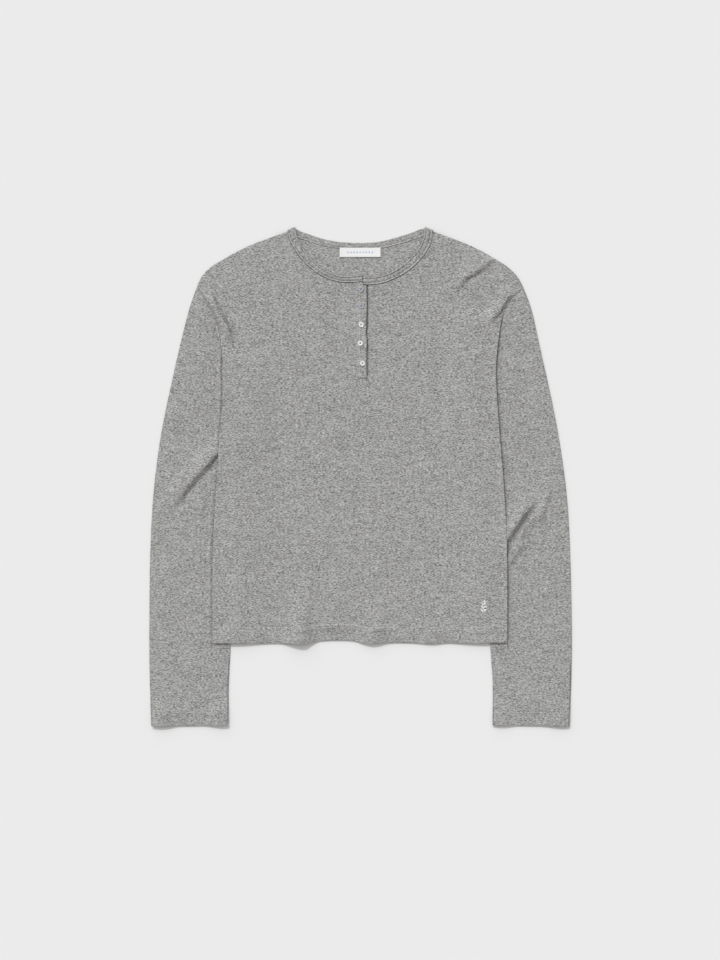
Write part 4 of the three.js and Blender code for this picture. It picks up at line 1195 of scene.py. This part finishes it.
def cuff_stitches(form, finish):
    """Two rows round a cuff, on its upper and its under side."""
    _, outer, inner = sleeve_edges(form)
    outer_end, inner_end = outer[-1], inner[-1]
    inset = np.sign(inner_end[0] - outer_end[0]) * CUFF_STITCH_INSET

    def upper(x, y):
        """The upper surface of the cuff."""
        return sleeve_top(form, outer, x, y)

    def under(x, y):
        """The under surface of the cuff, which the stitches just reach through."""
        return sleeve_low(form, x, y) + CUFF_UNDER_STITCH

    parts = []
    for depth in (HEM_DEPTH, HEM_DEPTH - ROW_APART):
        start = outer_end + np.array([inset, depth])
        end = inner_end + np.array([-inset, depth])
        line = start + (end - start) * np.linspace(0, 1, 200)[:, None]
        parts += [stitch_row(line, upper), stitch_row(line, under)]
    return combined(f"{form.name}_cuff_stitching", parts, finish)


def band_line(stations, share):
    """A line along the band at a share of its width."""
    table = curve(np.array(stations, float))
    return table[:, :2] * (1 - share) + table[:, 2:] * share


# The rows of stitches along the band: share of its width, and the rise of the band's upper and under
# face there.
BAND_STITCHES = [(0.895, 1.7, 0.98), (0.09, 1.36, 0.84)]
BAND_STITCH_PITCH, BAND_STITCH_SINK = 2.6, 0.14
# The stretch of each part of the band that the rows run along, as shares of its length.
FRONT_ROW = (0.01, 0.985)
BACK_ROW = (0.03, 0.97)


def neck_stitches(finish):
    """Two rows along the band, on its upper side at the front and on its inner side at the back neck."""
    def level_row(stations, share, ends, z):
        """One row at a height."""
        line = at_shares(band_line(stations, share), np.linspace(*ends, 300))
        level = lambda x, y: np.full(np.shape(x), z)
        return stitch_row(line, level, BAND_STITCH_PITCH, sink=BAND_STITCH_SINK)

    middle = BAND_WALL + BAND_GAP / 2
    parts = []
    for share, over, under in BAND_STITCHES:
        for stations in (LEFT_BAND, RIGHT_BAND):
            parts.append(level_row(stations, share, FRONT_ROW, middle + BAND_FOLD + over))
        parts.append(level_row(BACK_BAND, share, BACK_ROW, middle - BAND_FOLD + under))
    return combined("neckband_stitching", parts, finish)


def placket_stitches(finish):
    """The row down the sewn edge of the upper strip, and the box across its foot."""
    def line(*points):
        """Close points along straight lines."""
        return at_shares(np.array(points, float), np.linspace(0, 1, 200))

    def strip_or_front(x, y):
        """The strip's upper surface, and the front's below its foot."""
        return np.where(y > STRIP_FOOT, upper_strip_top(x, y), front_height(x, y))

    left, right, low, high = TACK_BOX
    row = line((STRIP_STITCH_X, SLIT_FOOT), (STRIP_STITCH_X, STRIP_STITCH_TOP))
    box = line((left, high), (left, low), (right, low), (right, high), (left, high))
    parts = [
        stitch_row(row, upper_strip_top, radius=PLACKET_STITCH_RADIUS),
        stitch_row(box, strip_or_front, BOX_STITCH_PITCH, BOX_STITCH_LENGTH, PLACKET_STITCH_RADIUS),
    ]
    return combined("placket_stitching", parts, finish)


# ---------- Buttons ----------

BUTTON_HOLE_RADIUS = 0.5
BUTTON_HOLE_OFFSET = 1.1
BUTTON_AROUND = 64
HOLE_AROUND = 20
SHARP_ANGLE = 38
# Up one side of a button: radius and height, with a raised rim round a flat middle.
BUTTON_PROFILE = [
    (0.0, 0.0), (3.3, 0.0), (3.62, 0.1), (3.78, 0.32), (3.8, 0.62), (3.76, 0.95), (3.6, 1.22), (3.3, 1.37),
    (3.0, 1.4), (2.75, 1.34), (2.55, 1.2), (2.35, 1.1), (2.0, 1.05), (0.0, 1.05),
]


def turned_mesh(name, profile, around):
    """A mesh turned about Z from a profile of radius and height, closed on its axis."""
    angles = np.arange(around) * 2 * math.pi / around
    vertices, rings = [], []
    for radius, height in profile:
        start = len(vertices)
        if radius == 0:
            vertices.append((0, 0, height))
            rings.append([start] * around)
            continue
        vertices += [(radius * math.cos(a), radius * math.sin(a), height) for a in angles]
        rings.append(list(range(start, start + around)))
    faces = []
    for low, high in zip(rings[:-1], rings[1:]):
        for step in range(around):
            after = (step + 1) % around
            corners = [low[step], low[after], high[after], high[step]]
            faces.append(list(dict.fromkeys(corners)))
    mesh = bpy.data.meshes.new(name)
    mesh.from_pydata([[c * MM for c in v] for v in vertices], [], faces)
    mesh.update()
    return mesh


def hole_places(turn=0):
    """The four holes of a button that is turned by an angle."""
    angles = turn + math.pi / 2 * (np.arange(4) + 0.5)
    return BUTTON_HOLE_OFFSET * np.stack([np.cos(angles), np.sin(angles)], axis=1)


def drilled_button():
    """The mesh of one button, with its four holes cut through."""
    blank = bpy.data.objects.new("button_blank", turned_mesh("button_blank", BUTTON_PROFILE, BUTTON_AROUND))
    scene.collection.objects.link(blank)
    pins = []
    pin_profile = [(0, -1), (BUTTON_HOLE_RADIUS, -1), (BUTTON_HOLE_RADIUS, 2.5), (0, 2.5)]
    for x, y in hole_places():
        pin = bpy.data.objects.new("pin", turned_mesh("pin", pin_profile, HOLE_AROUND))
        pin.location = (x * MM, y * MM, 0)
        scene.collection.objects.link(pin)
        pins.append(pin)
        cut = blank.modifiers.new("hole", "BOOLEAN")
        cut.operation = "DIFFERENCE"
        cut.solver = "EXACT"
        cut.object = pin
    evaluated = blank.evaluated_get(bpy.context.evaluated_depsgraph_get())
    mesh = bpy.data.meshes.new_from_object(evaluated)
    for used in [blank, *pins]:
        bpy.data.objects.remove(used)
    mesh.polygons.foreach_set("use_smooth", np.ones(len(mesh.polygons), bool))
    mesh.set_sharp_from_angle(angle=math.radians(SHARP_ANGLE))
    return mesh


# How each button tilts about X and Y and is turned, in degrees.
BUTTON_TILTS = [(1.5, -2.0, 14), (-1.0, 1.5, -20), (0.8, 2.0, 32), (-1.2, -1.0, 5), (1.0, 1.0, -11)]
BUTTON_SEAT = 2.6
BUTTON_CLEAR = 0.12
# The thread through a button: how far past the holes, how far apart its two strands, and their height.
THREAD_PAST_HOLES = 0.35
THREAD_SIDEWAYS = 0.22
THREAD_RISE = 1.18
THREAD_RADIUS = 0.26


def button_height(x, y):
    """Where the underside of a button is, just clear of the strip all round."""
    around = [(-BUTTON_SEAT, 0), (BUTTON_SEAT, 0), (0, -BUTTON_SEAT), (0, BUTTON_SEAT)]
    return max(float(upper_strip_top(np.array(x + dx), np.array(y + dy))) for dx, dy in around) + BUTTON_CLEAR


def button_thread(x, y, height, turn):
    """Two pairs of strands across a button, each between two of its holes."""
    holes = np.array([x, y]) + hole_places(turn)
    strands = []
    for first, second in ((0, 1), (2, 3)):
        way = np.append(holes[second] - holes[first], 0)
        across = np.array([-way[1], way[0], 0]) / np.linalg.norm(way)
        middle = np.append((holes[first] + holes[second]) / 2, height + THREAD_RISE)
        for sideways in (-THREAD_SIDEWAYS, THREAD_SIDEWAYS):
            long = np.linalg.norm(way) + THREAD_PAST_HOLES
            strands.append(capsules([middle + across * sideways], [way], long, THREAD_RADIUS))
    return strands


def make_buttons(finishes, thread):
    """The five buttons, each with its own finish and turn, and the thread that holds them."""
    mesh = drilled_button()
    pieces, threads = [], []
    for number, ((x, y), tilt) in enumerate(zip(BUTTONS, BUTTON_TILTS), start=1):
        own = mesh.copy()
        own.materials.clear()
        own.materials.append(finishes[number - 1])
        button = bpy.data.objects.new(f"pearl_button_{number}", own)
        height = button_height(x, y)
        button.location = (x * MM, y * MM, height * MM)
        button.rotation_euler = [math.radians(angle) for angle in tilt]
        scene.collection.objects.link(button)
        pieces.append(button)
        threads += button_thread(x, y, height, math.radians(tilt[2]))
    return pieces, combined("button_threads", threads, thread)


# ---------- Label and sprig ----------

LABEL_X, LABEL_Y, LABEL_WIDTH, LABEL_HEIGHT = -0.5, 325.1, 59.3, 13.5
LABEL_TOP = BAND_WALL + SEAM_GAP + 0.62
LABEL_WALL = 0.42
# Its ends are turned under, it bows up along its width, and its lower edge stands up towards one end.
LABEL_FOLD, LABEL_FOLD_FROM, LABEL_FOLD_STEP = 0.28, 0.88, 0.03
LABEL_BOW, LABEL_BOW_WAVES, LABEL_BOW_SHIFT = 0.25, 1.7, 0.4
LABEL_LIFT, LABEL_LIFT_REACH, LABEL_LIFT_SHIFT = 0.35, 30, 0.6
LABEL_DROP, LABEL_ROLL = 0.12, 0.4


def label_top(x, y):
    """The upper surface of the label, a little bowed, with its ends turned under."""
    across = np.abs(x - LABEL_X) / (LABEL_WIDTH / 2)
    folded = LABEL_FOLD * smooth((across - LABEL_FOLD_FROM) / LABEL_FOLD_STEP)
    bow = LABEL_BOW * np.sin(math.pi * (x - LABEL_X) / LABEL_WIDTH * LABEL_BOW_WAVES + LABEL_BOW_SHIFT)
    lift = LABEL_LIFT * smooth((LABEL_Y - y) / (LABEL_HEIGHT / 2))
    lift = lift * smooth((x - LABEL_X) / LABEL_LIFT_REACH + LABEL_LIFT_SHIFT)
    return LABEL_TOP + folded + np.maximum(bow, 0) + lift


def make_label(finish):
    """A strip of woven tape on the inside of the back neck."""
    across = stops(LABEL_WIDTH, LABEL_SPACING, LABEL_STOPS, LABEL_STOPS)
    up = stops(LABEL_HEIGHT, LABEL_SPACING, LABEL_STOPS, LABEL_STOPS)
    x, y = np.meshgrid(
        LABEL_X - LABEL_WIDTH / 2 + LABEL_WIDTH * across,
        LABEL_Y - LABEL_HEIGHT / 2 + LABEL_HEIGHT * up,
    )
    edge = np.minimum(LABEL_WIDTH / 2 - np.abs(x - LABEL_X), LABEL_HEIGHT / 2 - np.abs(y - LABEL_Y))
    grid = np.stack([x, y], axis=-1)
    height = label_top(x, y) - rolled(edge, LABEL_DROP, LABEL_ROLL)
    return shell("label_tape", raised(grid, height), LABEL_WALL, grid, finish)


DASHES = 9
DASH_PITCH = 4.4
DASH_RADIUS, DASH_FLAT, DASH_RISE = 0.36, 0.4, 0.02
# Each dash is three threads: how far up from its middle each one lies, and how long it is.
DASH_THREADS = [(-0.85, 1.612), (0.0, 2.6), (0.85, 1.612)]


def make_label_dashes(finish):
    """A plain woven row of short dashes along the middle of the label."""
    centres, long = [], []
    for dash in range(DASHES):
        for up, length in DASH_THREADS:
            x = LABEL_X + (dash - (DASHES - 1) / 2) * DASH_PITCH
            y = LABEL_Y + up
            centres.append((x, y, float(label_top(np.array(x), np.array(y))) + DASH_RISE))
            long.append(length)
    ways = [(1, 0, 0)] * len(centres)
    return combined("label_dashes", [capsules(centres, ways, long, DASH_RADIUS, DASH_FLAT)], finish)


SPRIG_FOOT = np.array([175.5, -199.2])
SPRIG_TOP = np.array([179.0, -182.0])
SPRIG_BEND = np.array([1.2, 0])
SPRIG_THREAD = 0.21
SATIN_PITCH = 0.34
SATIN_RISE = 0.16
# A leaf points along the stem and out to its side in these shares.
LEAF_ALONG, LEAF_OUT = 0.62, 0.78
SprigLeaf = namedtuple("SprigLeaf", "share side long wide")
SPRIG_LEAVES = [
    SprigLeaf(0.22, 1, 5.4, 2.2), SprigLeaf(0.30, -1, 5.6, 2.3), SprigLeaf(0.50, 1, 5.0, 2.1),
    SprigLeaf(0.58, -1, 4.8, 2.0), SprigLeaf(0.78, 1, 4.0, 1.7), SprigLeaf(0.84, -1, 3.8, 1.6),
]
SPRIG_TIP = SprigLeaf(0.93, 0, 4.4, 1.9)


def satin_leaf(root, way, leaf):
    """Slanting threads on both sides of a leaf's middle, longest below its middle."""
    way = way / np.linalg.norm(way)
    side = np.array([-way[1], way[0]])
    centres, ways, long = [], [], []
    for share in np.linspace(0.04, 0.97, int(leaf.long / SATIN_PITCH)):
        half = leaf.wide / 2 * math.sin(math.pi * share ** 0.8) ** 0.8 + 0.15
        for sign in (-1, 1):
            start = root + way * leaf.long * share
            end = start + side * sign * half + way * 0.5 * half
            middle = (start + end) / 2
            z = float(front_height(np.array(middle[0]), np.array(middle[1]))) + SATIN_RISE
            centres.append((*middle, z))
            ways.append((*(end - start), -0.12))
            long.append(np.linalg.norm(end - start) + 0.2)
    return capsules(centres, ways, long, SPRIG_THREAD, flat=1.1)


def make_sprig(finish):
    """A small embroidered sprig: satin-stitched leaves on both sides of a stem."""
    stem = curve([SPRIG_FOOT, (SPRIG_FOOT + SPRIG_TOP) / 2 + SPRIG_BEND, SPRIG_TOP])
    parts = [stitch_row(stem, front_height, pitch=1.0, long=1.5, radius=0.26, sink=0.0)]
    for leaf in SPRIG_LEAVES:
        root = at_shares(stem, [leaf.share])[0]
        run = at_shares(stem, [min(leaf.share + 0.05, 1)])[0] - root
        run = run / np.linalg.norm(run)
        side = np.array([-run[1], run[0]]) * leaf.side
        parts.append(satin_leaf(root, run * LEAF_ALONG + side * LEAF_OUT, leaf))
    tip = at_shares(stem, [SPRIG_TIP.share])[0]
    parts.append(satin_leaf(tip, SPRIG_TOP - SPRIG_FOOT, SPRIG_TIP))
    return combined("sprig_embroidery", parts, finish)


# ---------- Materials ----------

# The places of a colour Mix node's two colours and of its result among its sockets.
MIX_FIRST, MIX_SECOND, MIX_RESULT = 6, 7, 2


class Nodes:
    """Adds nodes to a tree and links them."""

    def __init__(self, tree):
        """Keeps the tree that the nodes go into."""
        self.tree = tree

    def add(self, kind, **settings):
        """A new node with some of its settings."""
        node = self.tree.nodes.new(kind)
        for name, value in settings.items():
            setattr(node, name, value)
        return node

    def link(self, source, target):
        """A link between two sockets."""
        self.tree.links.new(source, target)

    def feed(self, socket, value):
        """Links a socket to another, or sets it to a number or a colour."""
        if isinstance(value, bpy.types.NodeSocket):
            self.link(value, socket)
        elif isinstance(value, tuple):
            socket.default_value = (*value, 1)
        else:
            socket.default_value = value

    def math(self, operation, first, second=None, clamp=False):
        """The result of a sum on sockets or numbers."""
        node = self.add("ShaderNodeMath", operation=operation, use_clamp=clamp)
        self.feed(node.inputs[0], first)
        if second is not None:
            self.feed(node.inputs[1], second)
        return node.outputs[0]

    def mix(self, share, first, second, blend="MIX"):
        """Two colours mixed by a share."""
        node = self.add("ShaderNodeMix", data_type="RGBA", blend_type=blend)
        self.feed(node.inputs["Factor"], share)
        self.feed(node.inputs[MIX_FIRST], first)
        self.feed(node.inputs[MIX_SECOND], second)
        return node.outputs[MIX_RESULT]

    def between(self, value, low, high):
        """A value from 0 to 1, drawn out to lie between two others."""
        node = self.add("ShaderNodeMapRange")
        node.inputs["To Min"].default_value = low
        node.inputs["To Max"].default_value = high
        self.link(value, node.inputs["Value"])
        return node.outputs[0]

    def noise(self, place, scale, detail, **others):
        """Noise over a place."""
        node = self.add("ShaderNodeTexNoise")
        self.link(place, node.inputs["Vector"])
        for name, value in {"Scale": scale, "Detail": detail, **others}.items():
            node.inputs[name].default_value = value
        return node.outputs["Fac"]

    def bump(self, height, strength, distance, before=None):
        """A surface roughened by a height."""
        node = self.add("ShaderNodeBump")
        node.inputs["Strength"].default_value = strength
        node.inputs["Distance"].default_value = distance
        self.link(height, node.inputs["Height"])
        if before is not None:
            self.link(before, node.inputs["Normal"])
        return node.outputs["Normal"]

    def placed(self, group, **values):
        """A node group in this tree, with its own values; a low line stands for a space in a name."""
        node = self.add("ShaderNodeGroup", node_tree=group)
        for name, value in values.items():
            self.feed(node.inputs[name.replace("_", " ")], value)
        return node.outputs


def new_group(name, inputs, outputs):
    """An empty node group with named sockets. inputs gives each one's kind and starting value."""
    group = bpy.data.node_groups.new(name, "ShaderNodeTree")
    for label, (kind, value) in inputs.items():
        socket = group.interface.new_socket(label, in_out="INPUT", socket_type=kind)
        if value is not None:
            socket.default_value = value
    for label, kind in outputs.items():
        group.interface.new_socket(label, in_out="OUTPUT", socket_type=kind)
    nodes = Nodes(group)
    return group, nodes, nodes.add("NodeGroupInput"), nodes.add("NodeGroupOutput")


def streak_noise(nodes, place, long, high, detail, seed):
    """Noise drawn out along the courses of the knit."""
    scaled = nodes.add("ShaderNodeVectorMath", operation="DIVIDE")
    size = nodes.add("ShaderNodeCombineXYZ")
    nodes.link(long, size.inputs["X"])
    nodes.link(high, size.inputs["Y"])
    size.inputs["Z"].default_value = 1.0
    nodes.link(place, scaled.inputs[0])
    nodes.link(size.outputs[0], scaled.inputs[1])
    shift = nodes.add("ShaderNodeVectorMath", operation="ADD")
    nodes.link(scaled.outputs[0], shift.inputs[0])
    shift.inputs[1].default_value = (seed * 7.3, seed * 3.1, seed + 0.2)
    return nodes.noise(shift.outputs[0], 1.0, detail, Roughness=0.6)


# The flecks in three sizes: streaks, single fibres and slow clouds. long and high multiply a streak's size.
Layer = namedtuple("Layer", "long high detail strength")
MELANGE_LAYERS = [Layer(1.0, 1.0, 2.0, 2.7), Layer(0.36, 0.42, 3.0, 1.1), Layer(6.0, 5.0, 2.0, 0.4)]


def make_melange():
    """Flecks of light and dark fibre in a yarn, drawn out along the courses."""
    group, nodes, given, made = new_group(
        "melange yarn",
        {
            "Place": ("NodeSocketVector", None),
            "Streak Length": ("NodeSocketFloat", 0.003),
            "Streak Height": ("NodeSocketFloat", 0.0011),
            "Contrast": ("NodeSocketFloat", 1.0),
            "Dark": ("NodeSocketColor", (0.1, 0.1, 0.1, 1)),
            "Light": ("NodeSocketColor", (0.6, 0.6, 0.6, 1)),
        },
        {"Color": "NodeSocketColor", "Fleck": "NodeSocketFloat"},
    )
    total = 0.0
    for seed, layer in enumerate(MELANGE_LAYERS, start=1):
        long = nodes.math("MULTIPLY", given.outputs["Streak Length"], layer.long)
        high = nodes.math("MULTIPLY", given.outputs["Streak Height"], layer.high)
        streak = streak_noise(nodes, given.outputs["Place"], long, high, layer.detail, seed)
        share = nodes.math("MULTIPLY", nodes.math("SUBTRACT", streak, 0.5), layer.strength)
        total = nodes.math("ADD", total, share)
    fleck = nodes.math("ADD", nodes.math("MULTIPLY", total, given.outputs["Contrast"]), 0.5, clamp=True)
    nodes.link(nodes.mix(fleck, given.outputs["Dark"], given.outputs["Light"]), made.inputs["Color"])
    nodes.link(fleck, made.inputs["Fleck"])
    return group


def make_knit():
    """The height of plain knitting: columns of stitches, each a V of two legs."""
    group, nodes, given, made = new_group(
        "plain knit",
        {
            "Place": ("NodeSocketVector", None),
            "Wale": ("NodeSocketFloat", 0.0008),
            "Course": ("NodeSocketFloat", 0.0006),
        },
        {"Height": "NodeSocketFloat", "Gap": "NodeSocketFloat"},
    )
    parts = nodes.add("ShaderNodeSeparateXYZ")
    nodes.link(given.outputs["Place"], parts.inputs[0])
    across = nodes.math("FRACT", nodes.math("DIVIDE", parts.outputs["X"], given.outputs["Wale"]))
    off = nodes.math("ABSOLUTE", nodes.math("SUBTRACT", across, 0.5))
    from_leg = nodes.math("ABSOLUTE", nodes.math("SUBTRACT", off, 0.25))
    leg = nodes.math("SUBTRACT", 1.0, nodes.math("POWER", nodes.math("MULTIPLY", from_leg, 4.0), 2.0))
    slant = nodes.math("MULTIPLY", off, 1.1)
    course = nodes.math("DIVIDE", parts.outputs["Y"], given.outputs["Course"])
    along = nodes.math("FRACT", nodes.math("SUBTRACT", course, slant))
    centred = nodes.math("ABSOLUTE", nodes.math("SUBTRACT", along, 0.5))
    plump = nodes.math("SUBTRACT", 1.0, nodes.math("POWER", nodes.math("MULTIPLY", centred, 2.0), 2.5))
    height = nodes.math("MULTIPLY", leg, nodes.math("ADD", nodes.math("MULTIPLY", plump, 0.6), 0.4))
    nodes.link(height, made.inputs["Height"])
    nodes.link(nodes.math("SUBTRACT", 1.0, height, clamp=True), made.inputs["Gap"])
    return group


def make_twist():
    """Fine light and dark along the twist of a thread."""
    group, nodes, given, made = new_group(
        "thread twist",
        {"Place": ("NodeSocketVector", None), "Thread": ("NodeSocketColor", (0.8, 0.8, 0.8, 1))},
        {"Color": "NodeSocketColor", "Height": "NodeSocketFloat"},
    )
    twist = nodes.noise(given.outputs["Place"], 2600.0, 2.0)
    shade = nodes.between(twist, 0.72, 1.15)
    nodes.link(nodes.mix(1.0, given.outputs["Thread"], shade, "MULTIPLY"), made.inputs["Color"])
    nodes.link(twist, made.inputs["Height"])
    return group


def make_pearl_clouds():
    """Cloudy bands of two colours, as in mother-of-pearl."""
    group, nodes, given, made = new_group(
        "pearl clouds",
        {
            "Place": ("NodeSocketVector", None),
            "Base": ("NodeSocketColor", (0.9, 0.9, 0.9, 1)),
            "Glow": ("NodeSocketColor", (0.7, 0.7, 0.7, 1)),
        },
        {"Color": "NodeSocketColor", "Cloud": "NodeSocketFloat"},
    )
    cloud = nodes.noise(given.outputs["Place"], 420.0, 3.0, Distortion=1.2)
    nodes.link(nodes.mix(cloud, given.outputs["Glow"], given.outputs["Base"]), made.inputs["Color"])
    nodes.link(cloud, made.inputs["Cloud"])
    return group


def new_material(name, colour):
    """A material with its colour in plain views, its tree and its shader."""
    material = bpy.data.materials.new(name)
    material.use_nodes = True
    material.diffuse_color = (*colour, 1)
    nodes = Nodes(material.node_tree)
    return material, nodes, material.node_tree.nodes["Principled BSDF"]


melange = make_melange()
knit = make_knit()
thread_twist = make_twist()
pearl_clouds = make_pearl_clouds()
STREAK_LENGTH = 3.2
STREAK_HEIGHT = 0.8
DARK_FIBRE = (0.085, 0.085, 0.084)
LIGHT_FIBRE = (0.685, 0.683, 0.667)
# Painted shade for the gaps between the knit's stitches.
STITCH_GAP_PAINTED_SHADE = (0.45, 0.45, 0.45)


def jersey_material(name, dark, light, contrast, wale, course):
    """Grey melange jersey: flecked yarn, fine plain knit with painted shade in the gaps between its stitches,
    and a little nap.
    """
    material, nodes, shader = new_material(name, light)
    place = nodes.add("ShaderNodeUVMap", uv_map="cloth").outputs["UV"]
    yarn = nodes.placed(
        melange, Place=place, Streak_Length=STREAK_LENGTH * MM, Streak_Height=STREAK_HEIGHT * MM,
        Contrast=contrast, Dark=dark, Light=light,
    )
    stitches = nodes.placed(knit, Place=place, Wale=wale * MM, Course=course * MM)
    # The gaps between the stitches are darkened: painted shade.
    painted_shade_share = nodes.math("MULTIPLY", stitches["Gap"], 0.35)
    nodes.link(nodes.mix(painted_shade_share, yarn["Color"], STITCH_GAP_PAINTED_SHADE, "MULTIPLY"), shader.inputs["Base Color"])
    nodes.link(nodes.between(yarn["Fleck"], 0.98, 0.86), shader.inputs["Roughness"])
    coarse = nodes.bump(yarn["Fleck"], 0.5, 0.12 * MM)
    nodes.link(nodes.bump(stitches["Height"], 0.7, 0.16 * MM, coarse), shader.inputs["Normal"])
    shader.inputs["Sheen Weight"].default_value = 0.08
    shader.inputs["Sheen Roughness"].default_value = 0.5
    shader.inputs["Specular IOR Level"].default_value = 0.12
    return material


def thread_material(name, colour, rough):
    """Twisted sewing thread, with fine shading along its twist."""
    material, nodes, shader = new_material(name, colour)
    place = nodes.add("ShaderNodeTexCoord").outputs["Object"]
    twist = nodes.placed(thread_twist, Place=place, Thread=colour)
    nodes.link(twist["Color"], shader.inputs["Base Color"])
    nodes.link(nodes.bump(twist["Height"], 0.5, 0.08 * MM), shader.inputs["Normal"])
    shader.inputs["Roughness"].default_value = rough
    shader.inputs["Sheen Weight"].default_value = 0.15
    return material


def pearl_material(name, base, glow):
    """Mother-of-pearl: cloudy bands of cool white and lilac under a clear polish."""
    material, nodes, shader = new_material(name, base)
    place = nodes.add("ShaderNodeTexCoord").outputs["Object"]
    clouds = nodes.placed(pearl_clouds, Place=place, Base=base, Glow=glow)
    nodes.link(clouds["Color"], shader.inputs["Base Color"])
    nodes.link(nodes.between(clouds["Cloud"], 0.16, 0.34), shader.inputs["Roughness"])
    nodes.link(nodes.bump(clouds["Cloud"], 0.3, 0.06 * MM), shader.inputs["Normal"])
    shader.inputs["Coat Weight"].default_value = 0.6
    shader.inputs["Coat Roughness"].default_value = 0.08
    return material


def woven_material(name, colour):
    """Close satin tape: fine ribs across it and a soft shine."""
    material, nodes, shader = new_material(name, colour)
    place = nodes.add("ShaderNodeUVMap", uv_map="cloth").outputs["UV"]
    ribs = nodes.add("ShaderNodeTexWave", bands_direction="Y")
    ribs.inputs["Scale"].default_value = 560.0
    ribs.inputs["Distortion"].default_value = 0.4
    nodes.link(place, ribs.inputs["Vector"])
    threads = nodes.add("ShaderNodeTexWave", bands_direction="X")
    threads.inputs["Scale"].default_value = 900.0
    nodes.link(place, threads.inputs["Vector"])
    both = nodes.math("MULTIPLY", ribs.outputs["Fac"], threads.outputs["Fac"])
    shade = nodes.between(both, 0.9, 1.02)
    nodes.link(nodes.mix(1.0, colour, shade, "MULTIPLY"), shader.inputs["Base Color"])
    nodes.link(nodes.bump(both, 0.4, 0.08 * MM), shader.inputs["Normal"])
    shader.inputs["Roughness"].default_value = 0.55
    return material


def floor_material(colour):
    """A plain matt floor."""
    material, _, shader = new_material("studio_floor", colour)
    shader.inputs["Base Color"].default_value = (*colour, 1)
    shader.inputs["Roughness"].default_value = 1.0
    shader.inputs["Specular IOR Level"].default_value = 0.0
    return material


jersey = jersey_material("grey_melange_jersey", DARK_FIBRE, LIGHT_FIBRE, 1.0, 0.82, 0.62)
band_jersey = jersey_material("neckband_jersey", DARK_FIBRE, LIGHT_FIBRE, 0.95, 0.7, 0.6)
light_thread = thread_material("light_grey_thread", (0.66, 0.66, 0.645), 0.75)
# Button thread, dark partly for its own colour and partly as painted shade in the buttons' holes.
thread_and_hole_shade = thread_material("sewing_thread_and_painted_shade", (0.13, 0.13, 0.16), 0.7)
white_thread = thread_material("white_thread", (0.85, 0.85, 0.84), 0.6)
blue_thread = thread_material("pale_blue_thread", (0.36, 0.5, 0.74), 0.7)
pearl = pearl_material("pearl", (0.88, 0.88, 0.86), (0.72, 0.7, 0.76))
# A darker copy of the pearl, for the top two buttons.
darker_pearl = pearl_material("darker_pearl", (0.46, 0.45, 0.48), (0.33, 0.32, 0.38))
woven_tape = woven_material("woven_tape", (0.86, 0.86, 0.855))

# ---------- The shirt ----------


def settle(piece, slot, *nodes):
    """Puts a finished piece on the shirt, in place of the CAD nodes it stands for."""
    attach(piece, "root")
    if nodes:
        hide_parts(*nodes)
    return piece


front = settle(make_front(jersey), "jersey", "front_panel")
back = settle(make_back(jersey), "jersey", "back_panel")
left_sleeve = settle(make_sleeve(LEFT_SLEEVE, jersey), "jersey", "sleeve_left")
right_sleeve = settle(make_sleeve(RIGHT_SLEEVE, jersey), "jersey", "sleeve_right")
neckband = settle(make_neckband(band_jersey), "neckband_jersey", "neckband")
under_strip = settle(make_under_strip(jersey), "jersey", "placket_under")
upper_strip = settle(make_upper_strip(jersey), "jersey", "placket_upper")
settle(hem_stitches(light_thread), "jersey")
settle(cuff_stitches(LEFT_SLEEVE, light_thread), "jersey")
settle(cuff_stitches(RIGHT_SLEEVE, light_thread), "jersey")
settle(neck_stitches(light_thread), "neckband_jersey")
settle(placket_stitches(light_thread), "jersey")
# The dark button thread is partly painted shade in the buttons' holes.
buttons, button_threads = make_buttons([darker_pearl, darker_pearl, pearl, pearl, pearl], thread_and_hole_shade)
for number, button in enumerate(buttons, start=1):
    settle(button, "pearl", f"button_{number}")
settle(button_threads, "pearl")
label = settle(make_label(woven_tape), "woven_label", "neck_label")
settle(make_label_dashes(blue_thread), "woven_label")
settle(make_sprig(white_thread), "woven_label")

# ---------- Floor and light ----------

FLOOR_HALF = 20000
FLOOR_DROP = 0.05
FLOOR_COLOUR = (0.80, 0.80, 0.80)


def make_floor():
    """A pale floor that reaches far past the picture."""
    signs = np.array([(-1, -1), (1, -1), (1, 1), (-1, 1)])
    corners = np.column_stack([signs * FLOOR_HALF, np.full(4, -FLOOR_DROP)])
    floor = new_piece("floor", corners, [np.array([[0, 1, 2, 3]])], floor_material(FLOOR_COLOUR))


SKY_STRENGTH = 0.54
SKY_COLOUR = (1.0, 0.988, 0.955)
LAMP_COLOUR = (0.995, 1.0, 1.035)
# The way the shadows fall, across and up.
SHADOW_WAY = (0.45, -0.89)
Lamp = namedtuple("Lamp", "name strength elevation spread")
LAMPS = [Lamp("key_lamp", 1.35, 47, 3), Lamp("wide_soft_lamp", 1.05, 35, 70)]


def make_light():
    """A plain even sky, a crisp lamp over the top left corner and a wide soft one below it."""
    world = bpy.data.worlds.new("studio")
    scene.world = world
    world.use_nodes = True
    sky = world.node_tree.nodes["Background"]
    sky.inputs["Color"].default_value = (*SKY_COLOUR, 1)
    sky.inputs["Strength"].default_value = SKY_STRENGTH
    for row in LAMPS:
        sun = bpy.data.lights.new(row.name, "SUN")
        sun.energy = row.strength
        sun.color = LAMP_COLOUR
        sun.angle = math.radians(row.spread)
        lamp = bpy.data.objects.new(row.name, sun)
        level = Vector((*SHADOW_WAY, 0)).normalized() * math.cos(math.radians(row.elevation))
        way = level - Vector((0, 0, math.sin(math.radians(row.elevation))))
        lamp.rotation_mode = "QUATERNION"
        lamp.rotation_quaternion = way.to_track_quat("-Z", "Y")
        scene.collection.objects.link(lamp)


make_floor()
make_light()
scene.view_settings.view_transform = "Standard"
